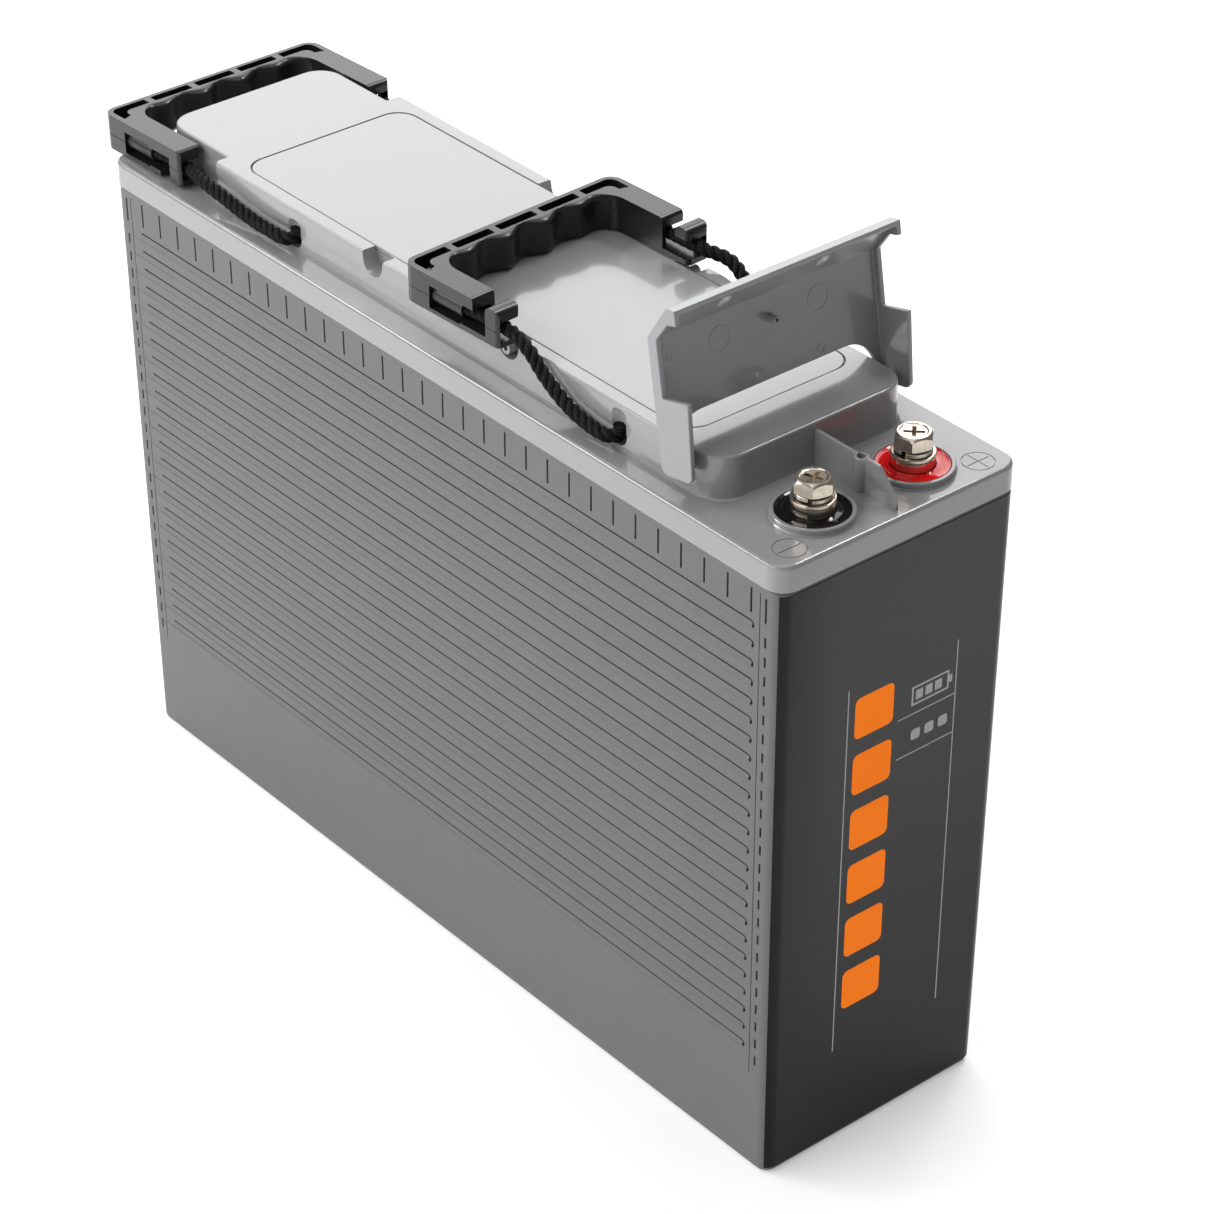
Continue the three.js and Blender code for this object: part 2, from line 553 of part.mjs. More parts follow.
function handleSet(name, pose, slotDown, holeX, routes) {
  const frame = new THREE.Group();
  frame.position.set(pose.x, pose.y, pose.z);
  frame.rotation.set(0, -rad(pose.tilt), rad(pose.yaw));
  group.add(frame);
  place(`${name}_handle`, geometryOf(handleBody(slotDown)), LOOK.handleGrey, frame);
  frame.updateMatrixWorld(true);
  for (const [where, side] of SIDES) {
    const length = FERRULE.end - FERRULE.start;
    const ferrule = rod(FERRULE.radius, 0, length, 24).rotateY(Math.PI / 2);
    place(`${name}_ferrule_${where}`, ferrule, LOOK.black, frame)
      .position.set(FERRULE.start, side * ROPE_SEAT.y, ROPE_SEAT.z);
    const seat = frame.localToWorld(new THREE.Vector3(FERRULE.end + GAP, side * ROPE_SEAT.y, ROPE_SEAT.z));
    const exit = frame.localToWorld(new THREE.Vector3(HANDLE.length + 1, side * ROPE_SEAT.y, ROPE_SEAT.z));
    const curve = ropeCurve(seat, exit, routes[where], { x: holeX, z: ROPE_HOLE.z }, side);
    place(`${name}_rope_${where}`, cord(curve, ROPE.radius, ROPE.sides, ROPE.steps), LOOK.rope);
    const stop = [side * ROPE_STOP.inner, side * ROPE_STOP.outer].sort((a, b) => a - b);
    place(`${name}_rope_stop_${where}`, crossRod(ROPE_STOP.radius, holeX, ROPE_HOLE.z, ...stop, 20), LOOK.rope);
  }
}
handleSet('rear', REAR_HANDLE, true, ROPE_HOLE.rearX, { near: REAR_ROUTE, far: REAR_ROUTE });
handleSet('front', FRONT_HANDLE, false, ROPE_HOLE.frontX, FRONT_ROUTES);

// ---------------------------------------------------------------- inside the case
const cellTop = CELL.bottom + CELL.height;
const cellX = (CELL.length + CELL.gap) / 2;

function cellBody() {
  const block = centredRect(CELL.length, CELL.width, 4);
  const stud = (x) => rod(STUD.radius, -1, STUD.height, 20).translate(x, 0, cellTop);
  const studs = [stud(-STUD.offset), stud(STUD.offset)];
  return addAll([prism(block, CELL.bottom, cellTop), ...studs].map(solid));
}

let cellNumber = 0;
for (const x of [-cellX, cellX]) {
  for (const y of [-CELL.pitchY / 2, CELL.pitchY / 2]) {
    cellNumber += 1;
    place(`cell_${cellNumber}`, geometryOf(cellBody()), LOOK.cell).position.set(x, y, 0);
  }
}

// Series links: across the rear pair, along the far row, and across the front pair.
const busZ = cellTop + STUD.height + BUSBAR.clear;
const busHalf = BUSBAR.width / 2;
const rowY = CELL.pitchY / 2;
place('busbar_rear', box(-cellX - STUD.offset - busHalf, -cellX - STUD.offset + busHalf,
  -rowY - 8, rowY + 8, busZ, busZ + BUSBAR.thickness), LOOK.copper);
place('busbar_middle', box(-cellX + STUD.offset - 8, cellX - STUD.offset + 8,
  rowY - busHalf, rowY + busHalf, busZ, busZ + BUSBAR.thickness), LOOK.copper);
place('busbar_front', box(cellX + STUD.offset - busHalf, cellX + STUD.offset + busHalf,
  -rowY - 8, rowY + 8, busZ, busZ + BUSBAR.thickness), LOOK.copper);

const padHalf = CASE.width / 2 - CASE.draft - CASE.wall - 0.8;
const padEnd = CASE.length / 2 - CASE.draft - CASE.wall - 0.8;
const cellEnd = cellX + CELL.length / 2;
place('base_pad', box(-padEnd, padEnd, -padHalf, padHalf, CASE.floor + GAP, CELL.bottom - GAP), LOOK.foam);
place('rear_spacer', box(-padEnd, -cellEnd - GAP, -padHalf, padHalf, CELL.bottom, cellTop), LOOK.foam);
place('front_spacer', box(cellEnd + GAP, padEnd, -padHalf, padHalf, CELL.bottom, cellTop), LOOK.foam);
const sheetHalf = (CELL.pitchY - CELL.width) / 2 - GAP;
place('cell_sheet', box(-cellEnd, cellEnd, -sheetHalf, sheetHalf, CELL.bottom, cellTop), LOOK.foam);

const deckBottom = busZ + BUSBAR.thickness + GAP;
const deckTop = BMS.z - GAP;
place('insulating_deck', box(-padEnd, 150, -padHalf + 1, padHalf - 1, deckBottom, deckTop), LOOK.foam);
place('management_board', box(BMS.x - BMS.length / 2, BMS.x + BMS.length / 2,
  -BMS.width / 2, BMS.width / 2, BMS.z, BMS.z + BMS.thickness), LOOK.board);
const sinkBottom = BMS.z + BMS.thickness + GAP;
place('heat_spreader', box(BMS.x - 80, BMS.x + 80, -38, 38, sinkBottom, sinkBottom + 10), LOOK.aluminium);
place('upper_foam', box(-padEnd, 120, -padHalf + 1, padHalf - 1, sinkBottom + 10 + GAP, 246), LOOK.foam);

// Cables from the cell stack and the board up to the two inserts, as [x, y, z] points.
const CABLE_ROUTES = {
  negative: [[36, -30, 146.5], [70, -30, 147], [112, -29, 147.5], [140, -27, 152], [160, -25, 175],
    [172.6, -23.65, 210], [176.7, -23.2, 240], [176.7, -23.2, INSERT.bottom - GAP]],
  positive: [[158, 28, 140.5], [161, 27.5, 158], [168, 26, 185], [174, 24.5, 215], [176.7, 23.2, 240],
    [176.7, 23.2, INSERT.bottom - GAP]],
};
for (const [name] of POLES) {
  const points = CABLE_ROUTES[name].map((point) => new THREE.Vector3(...point));
  const curve = new THREE.CatmullRomCurve3(points, false, 'centripetal');
  place(`${name}_cable`, cord(curve, CABLE.radius, CABLE.sides, 24), name === 'negative' ? LOOK.black : LOOK.red);
}

export default group;
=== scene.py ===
from math import atan2, cos, pi, radians, sin, sqrt

import bmesh
import bpy
from mathutils import Matrix, Vector


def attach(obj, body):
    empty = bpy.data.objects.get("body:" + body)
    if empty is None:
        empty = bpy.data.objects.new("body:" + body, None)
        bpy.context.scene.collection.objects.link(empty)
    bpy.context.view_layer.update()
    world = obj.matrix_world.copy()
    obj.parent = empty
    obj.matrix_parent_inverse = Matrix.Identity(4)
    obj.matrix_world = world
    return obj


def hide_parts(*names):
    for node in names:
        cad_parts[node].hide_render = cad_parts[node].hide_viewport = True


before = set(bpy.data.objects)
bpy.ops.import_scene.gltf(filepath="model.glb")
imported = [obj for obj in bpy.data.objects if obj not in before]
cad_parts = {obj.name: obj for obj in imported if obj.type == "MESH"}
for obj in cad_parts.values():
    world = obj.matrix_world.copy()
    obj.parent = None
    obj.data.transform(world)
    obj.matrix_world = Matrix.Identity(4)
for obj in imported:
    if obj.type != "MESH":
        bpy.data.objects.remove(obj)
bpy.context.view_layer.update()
MM = 0.001
CURVE_STEPS = 14  # points drawn between two route points of a rope

# ---------------------------------------------------------------- dimensions
# Most are the CAD's. The handle's finger bumps and corners and the cover's peg are a little fuller.
CASE = dict(length=392.6, width=109.6, height=255, wall=3, floor=3.5, corner=5, draft=2)
LID = dict(length=395, width=112, bottom=255.3, shelf=266, corner=8)
PLATEAU = dict(
    top=282.6, back=-182.3, front=153.2, shoulder=-141, half=45.2, narrow=39,
    back_corner=11, front_corner=12, shoulder_corner=2.5, edge=0.9,
    cavity_half=35, cavity_top=277.5, cut_in=34, cut_out=47,
)
PANEL = dict(half_length=131, half_width=38.8, corner=9, thickness=1.6, groove=0.5)
NOTCH = dict(x=39.8, radius=5.8, axis_z=280.2, inner=38.3)
VENT = dict(x=38.5, radius=2.5, z=278.2)
ROPE_HOLE = dict(rear_x=-88, front_x=101.5, z=271, radius=4.3)
SCOOP = dict(radius=5.2, inset=0.4)
GROOVE = dict(radius=4.7, y=47.6, top={"rear": 278.5, "front": 281.2})
ROPE = dict(radius=2.7, bend=4.5, bend_start=44.4, inner_end=34.6, pitch=11.6)
TERMINAL = dict(x=176.7, y=23.2, boss=12, hole=8.1)
RING = dict(outer=15, inner=13.4, top=268.5)
EPOXY = dict(outer=13.1, inner=8.3, bottom=266.1, top=268.3)
FLAT_WASHER = dict(outer=8, inner=4.3, bottom=272, top=273.5)
SPRING_WASHER = dict(outer=6.9, inner=4.4, bottom=273.6, top=275.7)
BOLT = dict(across_corners=15, bottom=275.8, top=281.1, shank=3.95, tip=259)
CROSS = dict(length=7.4, width=1.5, depth=1.6)
DIVIDER = dict(top=279.5, slope_start=184.3, end=193.4, foot=270.4, thickness=1.6)
MARK = dict(x=187.9, y=43.7, inner=5.75, outer=6.15, bar=5.2, half_line=0.2, depth=0.35)
POST = dict(x=175.4, radius=2.8, bore=1.7, bore_bottom=268, top=279.2)
HINGE = dict(x=139, z=277.3, lean=9.7, pin=2.5, pin_end=42, socket=2.6, socket_end=41.4)
# Terminal cover, as (t, s): s up the open plate, t forward from it, from the hinge line.
COVER = dict(
    half=51.5, skirt=2, outer=-8.2, plate=2.4, cut_top=14.1, cut_half=47.6, cut_corner=14.5,
    foot=-4.4, foot_corner=3, toe=7.75, brow=9.85, brow_height=25.7, step=24.6, rail=-3.4,
)
CHAMFER = dict(
    low=46, reach=3.3, lip_end=7.9, top=58.8, plate=2, hole_y=22.5, hole=2.8,
    inner_low=45.7, inner_reach=4.2, gusset_top=52.8, gusset_end=53.2,
)
# Faint ring marks where the cover was pushed off its moulding tool: y, height and radius.
COVER_RINGS = ((-22.5, 36.5, 4.7), (22.5, 36.5, 4.7), (22, 17.7, 1.8), (-45, 37, 1.2))
PEG = dict(s=36.4, radius=1.55, bore=0.75, length=4.8)
HANDLE = dict(half=51, length=52.8, thickness=14.6, grip=9.6, leg=40.6, outer_corner=5.5, inner_corner=8)
FINGER = dict(pitch=18.7, depth=2.0, round=2.6)
POCKET = dict(
    back=2, front=6.2, floor=3.5, pitch=20.7, half=8.9, corner_start=32.6, corner_half=48.6,
    corner_outer=3.4, corner_inner=3.2, leg_end=12.5, leg_width=4, leg_floor=11.5,
)
SOCKET = dict(start=15, end=31.8, low=1.6, high=10.6, depth=9.4)
SLOT = dict(start=38.9, end=45.6, floor=2.2)
ROPE_SEAT = dict(y=46.2, z=6.2, clear=3.8)
PARTING = dict(half_width=0.14, depth=0.2, z=6.4)
# Rounded edges of the leg ends: where along the leg, which way they fall away, and their radius.
LEG_ENDS = {
    "slot_down": [(HANDLE["length"], -1, 2.2)],
    "slot_up": [(SLOT["end"], 1, 2.6), (HANDLE["length"], -1, 3.4), (SLOT["start"], -1, 1.8)],
}
FERRULE_END = 31.3
QUARTER = [radians(a) for a in range(0, 91, 15)]  # steps round a rounded edge
POSES = {
    "rear": dict(at=(-207.6, 0, 265.9), tilt=2, yaw=0, slot_down=True, hole_x=-88),
    "front": dict(at=(-10.1, -4.2, 282.9), tilt=0, yaw=2.4, slot_down=False, hole_x=101.5),
}
ROUTES = {
    ("rear", "near"): [(-141, 49, 274.6), (-127, 49, 272.8), (-110, 48.9, 270.9), (-97, 48.9, 270.9)],
    ("rear", "far"): [(-141, 49, 274.6), (-127, 49, 272.8), (-110, 48.9, 270.9), (-97, 48.9, 270.9)],
    ("front", "near"): [(56, 48.6, 286.4), (66, 48.9, 279.6), (78, 48.9, 273.6), (91, 48.9, 271.1)],
    ("front", "far"): [(53, 48.9, 286.6), (64, 48.9, 279.6), (78, 48.9, 273.6), (91, 48.9, 271.1)],
}
SIDES = {"near": -1, "far": 1}
POLES = {"negative": -1, "positive": 1}


# ---------------------------------------------------------------- camera, floor and light
def aim(obj, direction):
    obj.rotation_mode = "QUATERNION"
    obj.rotation_quaternion = direction.to_track_quat("-Z", "Y")


def towards(azimuth, elevation):
    """Unit vector from the object to a viewer at that azimuth and elevation."""
    a, e = radians(azimuth), radians(elevation)
    return Vector((sin(a) * cos(e), -cos(a) * cos(e), sin(e)))


camera = bpy.data.objects.new("camera", bpy.data.cameras.new("camera"))
camera.data.sensor_width = 36
camera.data.lens = 117.47
camera.location = (1.00307, -0.80472, 0.97046)
aim(camera, -towards(50.092, 33.169))
bpy.context.scene.collection.objects.link(camera)
bpy.context.scene.camera = camera
bpy.context.scene.view_settings.view_transform = "Standard"


LIT_POINT = Vector((0, 0, 0.14))


def soft_light(name, azimuth, elevation, distance, size, watts):
    data = bpy.data.lights.new(name, "AREA")
    data.shape = "RECTANGLE"
    data.size, data.size_y = size
    data.energy = watts
    obj = bpy.data.objects.new(name, data)
    direction = towards(azimuth, elevation)
    obj.location = LIT_POINT + direction * distance
    aim(obj, -direction)
    bpy.context.scene.collection.objects.link(obj)


soft_light("left_panel", -8, 30, 1.6, (1.5, 1.2), 15)
soft_light("left_strip", -50, 34, 1.6, (0.6, 0.4), 9)
soft_light("front_strip", 184, 57, 1.7, (0.6, 0.25), 7)
soft_light("top_panel", 0, 88, 1.5, (1.3, 1.3), 6)
soft_light("back_panel", 232, 34, 1.9, (2.2, 1.3), 24)

world = bpy.data.worlds.new("studio")
world.use_nodes = True
world.node_tree.nodes["Background"].inputs["Color"].default_value = (1, 1, 1, 1)
world.node_tree.nodes["Background"].inputs["Strength"].default_value = 0.18
bpy.context.scene.world = world


# ---------------------------------------------------------------- materials
def graph(name):
    mat = bpy.data.materials.new(name)
    mat.use_nodes = True
    tree = mat.node_tree
    shader = tree.nodes["Principled BSDF"]

    def node(kind, links=None, **values):
        n = tree.nodes.new("ShaderNode" + kind)
        for key, value in values.items():
            if key in n.inputs:
                n.inputs[key].default_value = value
            else:
                setattr(n, key, value)
        for socket, source in (links or {}).items():
            tree.links.new(source, n.inputs[socket])
        return n

    return mat, tree, shader, node


def rgb(hex_colour):
    """Linear colour from an sRGB hex value."""
    parts = [((hex_colour >> shift) & 255) / 255 for shift in (16, 8, 0)]
    return tuple(c / 12.92 if c <= 0.04045 else ((c + 0.055) / 1.055) ** 2.4 for c in parts) + (1,)


def moulded(name, colour, rough=0.4, grain=900, depth=0.00003, mottle=0.06, gloss_spread=0.08, **fixed):
    """Moulded plastic: fine grain, slow colour drift and uneven gloss in rubbed patches."""
    mat, tree, shader, node = graph(name)
    place = node("TexCoord").outputs["Object"]
    fine = node("TexNoise", {"Vector": place}, Scale=grain, Detail=3.0, Roughness=0.6)
    slow = node("TexNoise", {"Vector": place}, Scale=14.0, Detail=4.0, Roughness=0.55)
    scuff = node("TexNoise", {"Vector": place}, Scale=60.0, Detail=6.0, Roughness=0.7, Distortion=1.2)
    base = rgb(colour)
    dark = tuple(c * (1 - mottle) for c in base[:3]) + (1,)
    light = tuple(min(1, c * (1 + mottle)) for c in base[:3]) + (1,)
    drift = node("ValToRGB", {"Fac": slow.outputs["Fac"]})
    drift.color_ramp.elements[0].position, drift.color_ramp.elements[0].color = 0.3, dark
    drift.color_ramp.elements[1].position, drift.color_ramp.elements[1].color = 0.7, light
    speck = node("MapRange", {"Value": fine.outputs["Fac"]}, **{"To Min": 0.965, "To Max": 1.035})
    tinted = node("VectorMath", {0: drift.outputs["Color"]}, operation="SCALE")
    tree.links.new(speck.outputs["Result"], tinted.inputs["Scale"])
    tree.links.new(tinted.outputs["Vector"], shader.inputs["Base Color"])
    gloss = node(
        "MapRange", {"Value": scuff.outputs["Fac"]},
        **{
            "From Min": 0.3, "From Max": 0.7, "To Min": rough - gloss_spread / 2,
            "To Max": rough + gloss_spread / 2,
        },
    )
    tree.links.new(gloss.outputs["Result"], shader.inputs["Roughness"])
    bump = node("Bump", {"Height": fine.outputs["Fac"]}, Strength=1.0, Distance=depth)
    tree.links.new(bump.outputs["Normal"], shader.inputs["Normal"])
    for key, value in fixed.items():
        shader.inputs[key].default_value = value
    return mat


def metal(name, colour, rough=0.22, brushed=(40, 40, 1400), depth=0.000006, tarnish=0.25):
    """Plated metal: drawn-out fine scratches, uneven shine and slight tarnish."""
    mat, tree, shader, node = graph(name)
    place = node("TexCoord").outputs["Object"]
    stretched = node("Mapping", {"Vector": place})
    stretched.inputs["Scale"].default_value = brushed
    lines = node(
        "TexNoise", {"Vector": stretched.outputs["Vector"]}, Scale=1.0, Detail=4.0, Roughness=0.65,
    )
    spots = node("TexNoise", {"Vector": place}, Scale=420.0, Detail=5.0, Roughness=0.7)
    base = rgb(colour)
    ramp = node("ValToRGB", {"Fac": spots.outputs["Fac"]})
    ramp.color_ramp.elements[0].position = 0.35
    ramp.color_ramp.elements[0].color = tuple(c * (1 - tarnish) for c in base[:3]) + (1,)
    ramp.color_ramp.elements[1].position, ramp.color_ramp.elements[1].color = 0.62, base
    tree.links.new(ramp.outputs["Color"], shader.inputs["Base Color"])
    shine = node(
        "MapRange", {"Value": lines.outputs["Fac"]}, **{"To Min": rough * 0.6, "To Max": rough * 1.5},
    )
    tree.links.new(shine.outputs["Result"], shader.inputs["Roughness"])
    bump = node("Bump", {"Height": lines.outputs["Fac"]}, Strength=1.0, Distance=depth)
    tree.links.new(bump.outputs["Normal"], shader.inputs["Normal"])
    shader.inputs["Metallic"].default_value = 1.0
    return mat


def rope_fibre(name):
    """Black twisted yarn: the stripes follow the strand's own length through its UVs. Painted glints:
    where stripes and fuzz peak together the base colour turns grey, standing in for highlights.
    """
    mat, tree, shader, node = graph(name)
    uv = node("TexCoord").outputs["UV"]
    turned = node("Mapping", {"Vector": uv})
    turned.inputs["Rotation"].default_value = (0, 0, radians(38))
    yarn = node("TexWave", {"Vector": turned.outputs["Vector"]}, Scale=1.15, Distortion=0.8, Detail=2.0)
    yarn.inputs["Detail Scale"].default_value = 2.0
    fuzz = node(
        "TexNoise", {"Vector": node("TexCoord").outputs["Object"]}, Scale=1500.0, Detail=4.0,
        Roughness=0.75,
    )
    yarn_and_painted_glint = node("Math", {0: yarn.outputs["Fac"], 1: fuzz.outputs["Fac"]}, operation="MULTIPLY")
    # painted glint: the ramp's grey top stop lightens the base colour where stripes and fuzz peak,
    # standing in for highlights
    ramp = node("ValToRGB", {"Fac": yarn_and_painted_glint.outputs["Value"]})
    ramp.color_ramp.elements[0].position, ramp.color_ramp.elements[0].color = 0.36, rgb(0x010101)
    ramp.color_ramp.elements[1].position, ramp.color_ramp.elements[1].color = 0.66, rgb(0x4E4E50)
    tree.links.new(ramp.outputs["Color"], shader.inputs["Base Color"])
    rough = node("MapRange", {"Value": yarn_and_painted_glint.outputs["Value"]}, **{"To Min": 0.55, "To Max": 0.3})
    tree.links.new(rough.outputs["Result"], shader.inputs["Roughness"])
    bump = node("Bump", {"Height": yarn_and_painted_glint.outputs["Value"]}, Strength=1.0, Distance=0.00016)
    tree.links.new(bump.outputs["Normal"], shader.inputs["Normal"])
    shader.inputs["Specular IOR Level"].default_value = 0.1
    return mat


LACQUER = {"Coat Weight": 0.5, "Coat Roughness": 0.04}
TOUGH = {"Coat Weight": 0.08, "Coat Roughness": 0.1, "Specular IOR Level": 0.4}
SATIN = {"Specular IOR Level": 0.18}
GLOW = {"Emission Color": rgb(0xFFFFFF), "Emission Strength": 0.32}
# Painted glow: the orange ink emits light of its own, so it shines brighter than the lamps alone would
# make it.
PAINTED_GLOW_INK = {"Emission Color": rgb(0xFF7800), "Emission Strength": 0.28, "Specular IOR Level": 0.08}
LOOK = {
    "case": moulded("case_grey", 0x636262, rough=0.5, grain=1500, depth=0.00003, mottle=0.02),
    "lid": moulded(
        "lid_grey", 0x8E8E8E, rough=0.18, grain=700, depth=0.000002, mottle=0.01, gloss_spread=0.04,
        **LACQUER,
    ),
    "cover": moulded(
        "cover_grey", 0x8B8C8E, rough=0.34, grain=700, depth=0.000004, mottle=0.012, gloss_spread=0.05,
        **LACQUER,
    ),
    "handle": moulded(
        "handle_grey", 0x1A1B1D, rough=0.27, grain=1300, depth=0.000002, mottle=0.01, gloss_spread=0.02,
        **TOUGH,
    ),
    "label": moulded(
        "label_film", 0x121213, rough=0.28, grain=500, depth=0.000002, mottle=0.02, gloss_spread=0.006,
        **SATIN,
    ),
    # orange ink with a painted glow (emission) on top of its colour
    "orange": moulded(
        "print_orange", 0xEE7600, rough=0.5, grain=2200, depth=0.000003, mottle=0.03, **PAINTED_GLOW_INK,
    ),
    "pale": moulded("print_pale", 0xA0A2A5, rough=0.4, grain=2200, depth=0.000003, mottle=0.03),
    "black_resin": moulded(
        "resin_black", 0x050506, rough=0.07, grain=120, depth=0.00004, mottle=0.1, gloss_spread=0.04,
    ),
    "red_resin": moulded(
        "resin_red", 0xDC080C, rough=0.08, grain=120, depth=0.00004, mottle=0.06, gloss_spread=0.04,
    ),
    "nickel": metal("nickel_plate", 0xD8CDBD),
    "ferrule": moulded("ferrule_black", 0x1C1C1D, rough=0.42, grain=1100, depth=0.00005, mottle=0.12),
    "rope": rope_fibre("rope_black"),
    "cell": moulded("cell_film", 0x2F5FA8, rough=0.3, grain=260, depth=0.00003, mottle=0.08),
    "copper": metal("busbar_copper", 0xC07A45, rough=0.32, tarnish=0.4),
    "foam": moulded("foam_dark", 0x2A2A2C, rough=0.92, grain=700, depth=0.0004, mottle=0.25),
    "deck": moulded("deck_board", 0x3A3B3D, rough=0.7, grain=500, depth=0.0001, mottle=0.12),
    "board": moulded("board_green", 0x17502C, rough=0.35, grain=900, depth=0.00003, mottle=0.2),
    "aluminium": metal("spreader_aluminium", 0xB9BBBE, rough=0.38, brushed=(900, 30, 30)),
    "black_cable": moulded("cable_black", 0x0C0C0D, rough=0.5, grain=900, depth=0.00005, mottle=0.1),
    "red_cable": moulded("cable_red", 0xB01218, rough=0.5, grain=900, depth=0.00005, mottle=0.1),
}


def painted_reflection_fade(mat, low, high, bottom, top, left, right):
    """Painted reflection: the base colour runs from low at the bottom and left edge to high at top right,
    standing in for the light reflected in the film.
    """
    tree = mat.node_tree
    spot = tree.nodes.new("ShaderNodeTexCoord")
    split = tree.nodes.new("ShaderNodeSeparateXYZ")
    tree.links.new(spot.outputs["Object"], split.inputs["Vector"])
    amounts = []
    for axis, start, end in (("Z", bottom, top), ("Y", left, right)):
        amount = tree.nodes.new("ShaderNodeMapRange")
        amount.interpolation_type = "SMOOTHSTEP"
        amount.inputs["From Min"].default_value, amount.inputs["From Max"].default_value = start, end
        tree.links.new(split.outputs[axis], amount.inputs["Value"])
        amounts.append(amount)
    both = tree.nodes.new("ShaderNodeMath")
    both.operation = "MULTIPLY"
    ramp = tree.nodes.new("ShaderNodeValToRGB")
    ramp.color_ramp.elements[0].color, ramp.color_ramp.elements[1].color = rgb(low), rgb(high)
    for socket, amount in enumerate(amounts):
        tree.links.new(amount.outputs["Result"], both.inputs[socket])
    tree.links.new(both.outputs["Value"], ramp.inputs["Fac"])
    tree.links.new(ramp.outputs["Color"], tree.nodes["Principled BSDF"].inputs["Base Color"])


# painted reflection on the black label film: darker at the bottom and left edge, lighter at top right
painted_reflection_fade(LOOK["label"], 0x010101, 0x404042, -0.01, 0.26, -0.064, -0.02)


# ---------------------------------------------------------------- mesh tools
def arc(cx, cy, r, start, end, steps):
    """Points on an arc, angles in degrees."""
    turns = [radians(start + (end - start) * i / steps) for i in range(steps + 1)]
    return [(cx + r * cos(t), cy + r * sin(t)) for t in turns]


def rounded(x0, x1, y0, y1, r, steps=6):
    return (
        arc(x1 - r, y0 + r, r, -90, 0, steps) + arc(x1 - r, y1 - r, r, 0, 90, steps)
        + arc(x0 + r, y1 - r, r, 90, 180, steps) + arc(x0 + r, y0 + r, r, 180, 270, steps)
    )


def rect(a0, a1, b0, b1):
    return [(a0, b0), (a1, b0), (a1, b1), (a0, b1)]


def layers(levels, half_x, half_y, corner, steps=8):
    """Rings of a rounded rectangle, one for each (inset, z)."""
    rings = []
    for inset, z in levels:
        x1, y1 = half_x - inset, half_y - inset
        rings.append([(x, y, z) for x, y in rounded(-x1, x1, -y1, y1, corner - inset, steps)])
    return rings


def skin(rings, closed=False):
    """A closed surface through rings of points; open stacks get flat ends."""
    bm = bmesh.new()
    rows = [[bm.verts.new(Vector(p) * MM) for p in ring] for ring in rings]
    count = len(rows[0])
    pairs = list(zip(rows, rows[1:])) + ([(rows[-1], rows[0])] if closed else [])
    for low, high in pairs:
        for i in range(count):
            j = (i + 1) % count
            bm.faces.new((low[i], low[j], high[j], high[i]))
    if not closed:
        bm.faces.new(rows[0][::-1])
        bm.faces.new(rows[-1])
    bmesh.ops.remove_doubles(bm, verts=bm.verts, dist=2e-7)
    bmesh.ops.dissolve_degenerate(bm, edges=bm.edges, dist=1e-7)
    bmesh.ops.recalc_face_normals(bm, faces=bm.faces)
    mesh = bpy.data.meshes.new("part")
    bm.to_mesh(mesh)
    bm.free()
    return mesh


def prism(outline, low, high, plane="xy"):
    """outline pushed from low to high across its plane."""
    order = {"xy": (0, 1, 2), "xz": (0, 2, 1), "yz": (2, 0, 1)}[plane]
    rings = [[(a, b, h) for a, b in outline] for h in (low, high)]
    return skin([[tuple(p[k] for k in order) for p in ring] for ring in rings])


def box(x0, x1, y0, y1, z0, z1):
    return prism(rect(x0, x1, y0, y1), z0, z1)


def soft_box(x0, x1, y0, y1, z0, z1, r=0.8):
    """A box whose upright edges are rounded."""
    return prism(rounded(x0, x1, y0, y1, r, 3), z0, z1)


def turned(profile, x=0, y=0, steps=48):
    """Revolves a closed profile of (radius, z) about an upright axis at x, y."""
    rings = []
    for k in range(steps):
        t = 2 * pi * k / steps
        rings.append([(x + r * cos(t), y + r * sin(t), z) for r, z in profile])
    return skin(rings, closed=True)


def pin(radius, x, z, y0, y1, steps=32, inner=0):
    """A rod or tube along Y."""
    low, high = sorted((y0, y1))
    mesh = turned(rect(inner, radius, low, high), steps=steps)
    mesh.transform(Matrix.Translation((x * MM, 0, z * MM)) @ Matrix.Rotation(-pi / 2, 4, "X"))
    return mesh


def joined(meshes):
    bm = bmesh.new()
    for mesh in meshes:
        bm.from_mesh(mesh)
        bpy.data.meshes.remove(mesh)
    result = bpy.data.meshes.new("joined")
    bm.to_mesh(result)
    bm.free()
    return result


def thing(name, mesh):
    obj = bpy.data.objects.new(name, mesh)
    bpy.context.scene.collection.objects.link(obj)
    return obj


def settle(obj):
    """Makes an object's modifiers part of its mesh."""
    shape = bpy.data.meshes.new_from_object(obj.evaluated_get(bpy.context.evaluated_depsgraph_get()))
    obj.modifiers.clear()
    obj.data = shape
    return obj


def combine(obj, meshes, how="DIFFERENCE"):
    """Cuts each mesh from obj, or adds it."""
    tools = [thing("tool", mesh) for mesh in meshes]
    for tool in tools:
        change = obj.modifiers.new("change", "BOOLEAN")
        change.object, change.operation, change.solver = tool, how, "MANIFOLD"
    settle(obj)
    for tool in tools:
        bpy.data.objects.remove(tool)
    return obj


def tidy(obj, angle=0.6):
    bm = bmesh.new()
    bm.from_mesh(obj.data)
    bmesh.ops.remove_doubles(bm, verts=bm.verts, dist=1e-6)
    bmesh.ops.dissolve_limit(bm, angle_limit=radians(angle), verts=bm.verts, edges=bm.edges)
    bm.to_mesh(obj.data)
    bm.free()
    return obj


def soften(obj, width, segments=3, angle=35):
    """Rounds the edges that are sharper than angle."""
    tidy(obj)
    edge = obj.modifiers.new("edge", "BEVEL")
    edge.width, edge.segments = width * MM, segments
    edge.limit_method, edge.angle_limit = "ANGLE", radians(angle)
    edge.miter_outer = "MITER_ARC"
    return settle(obj)


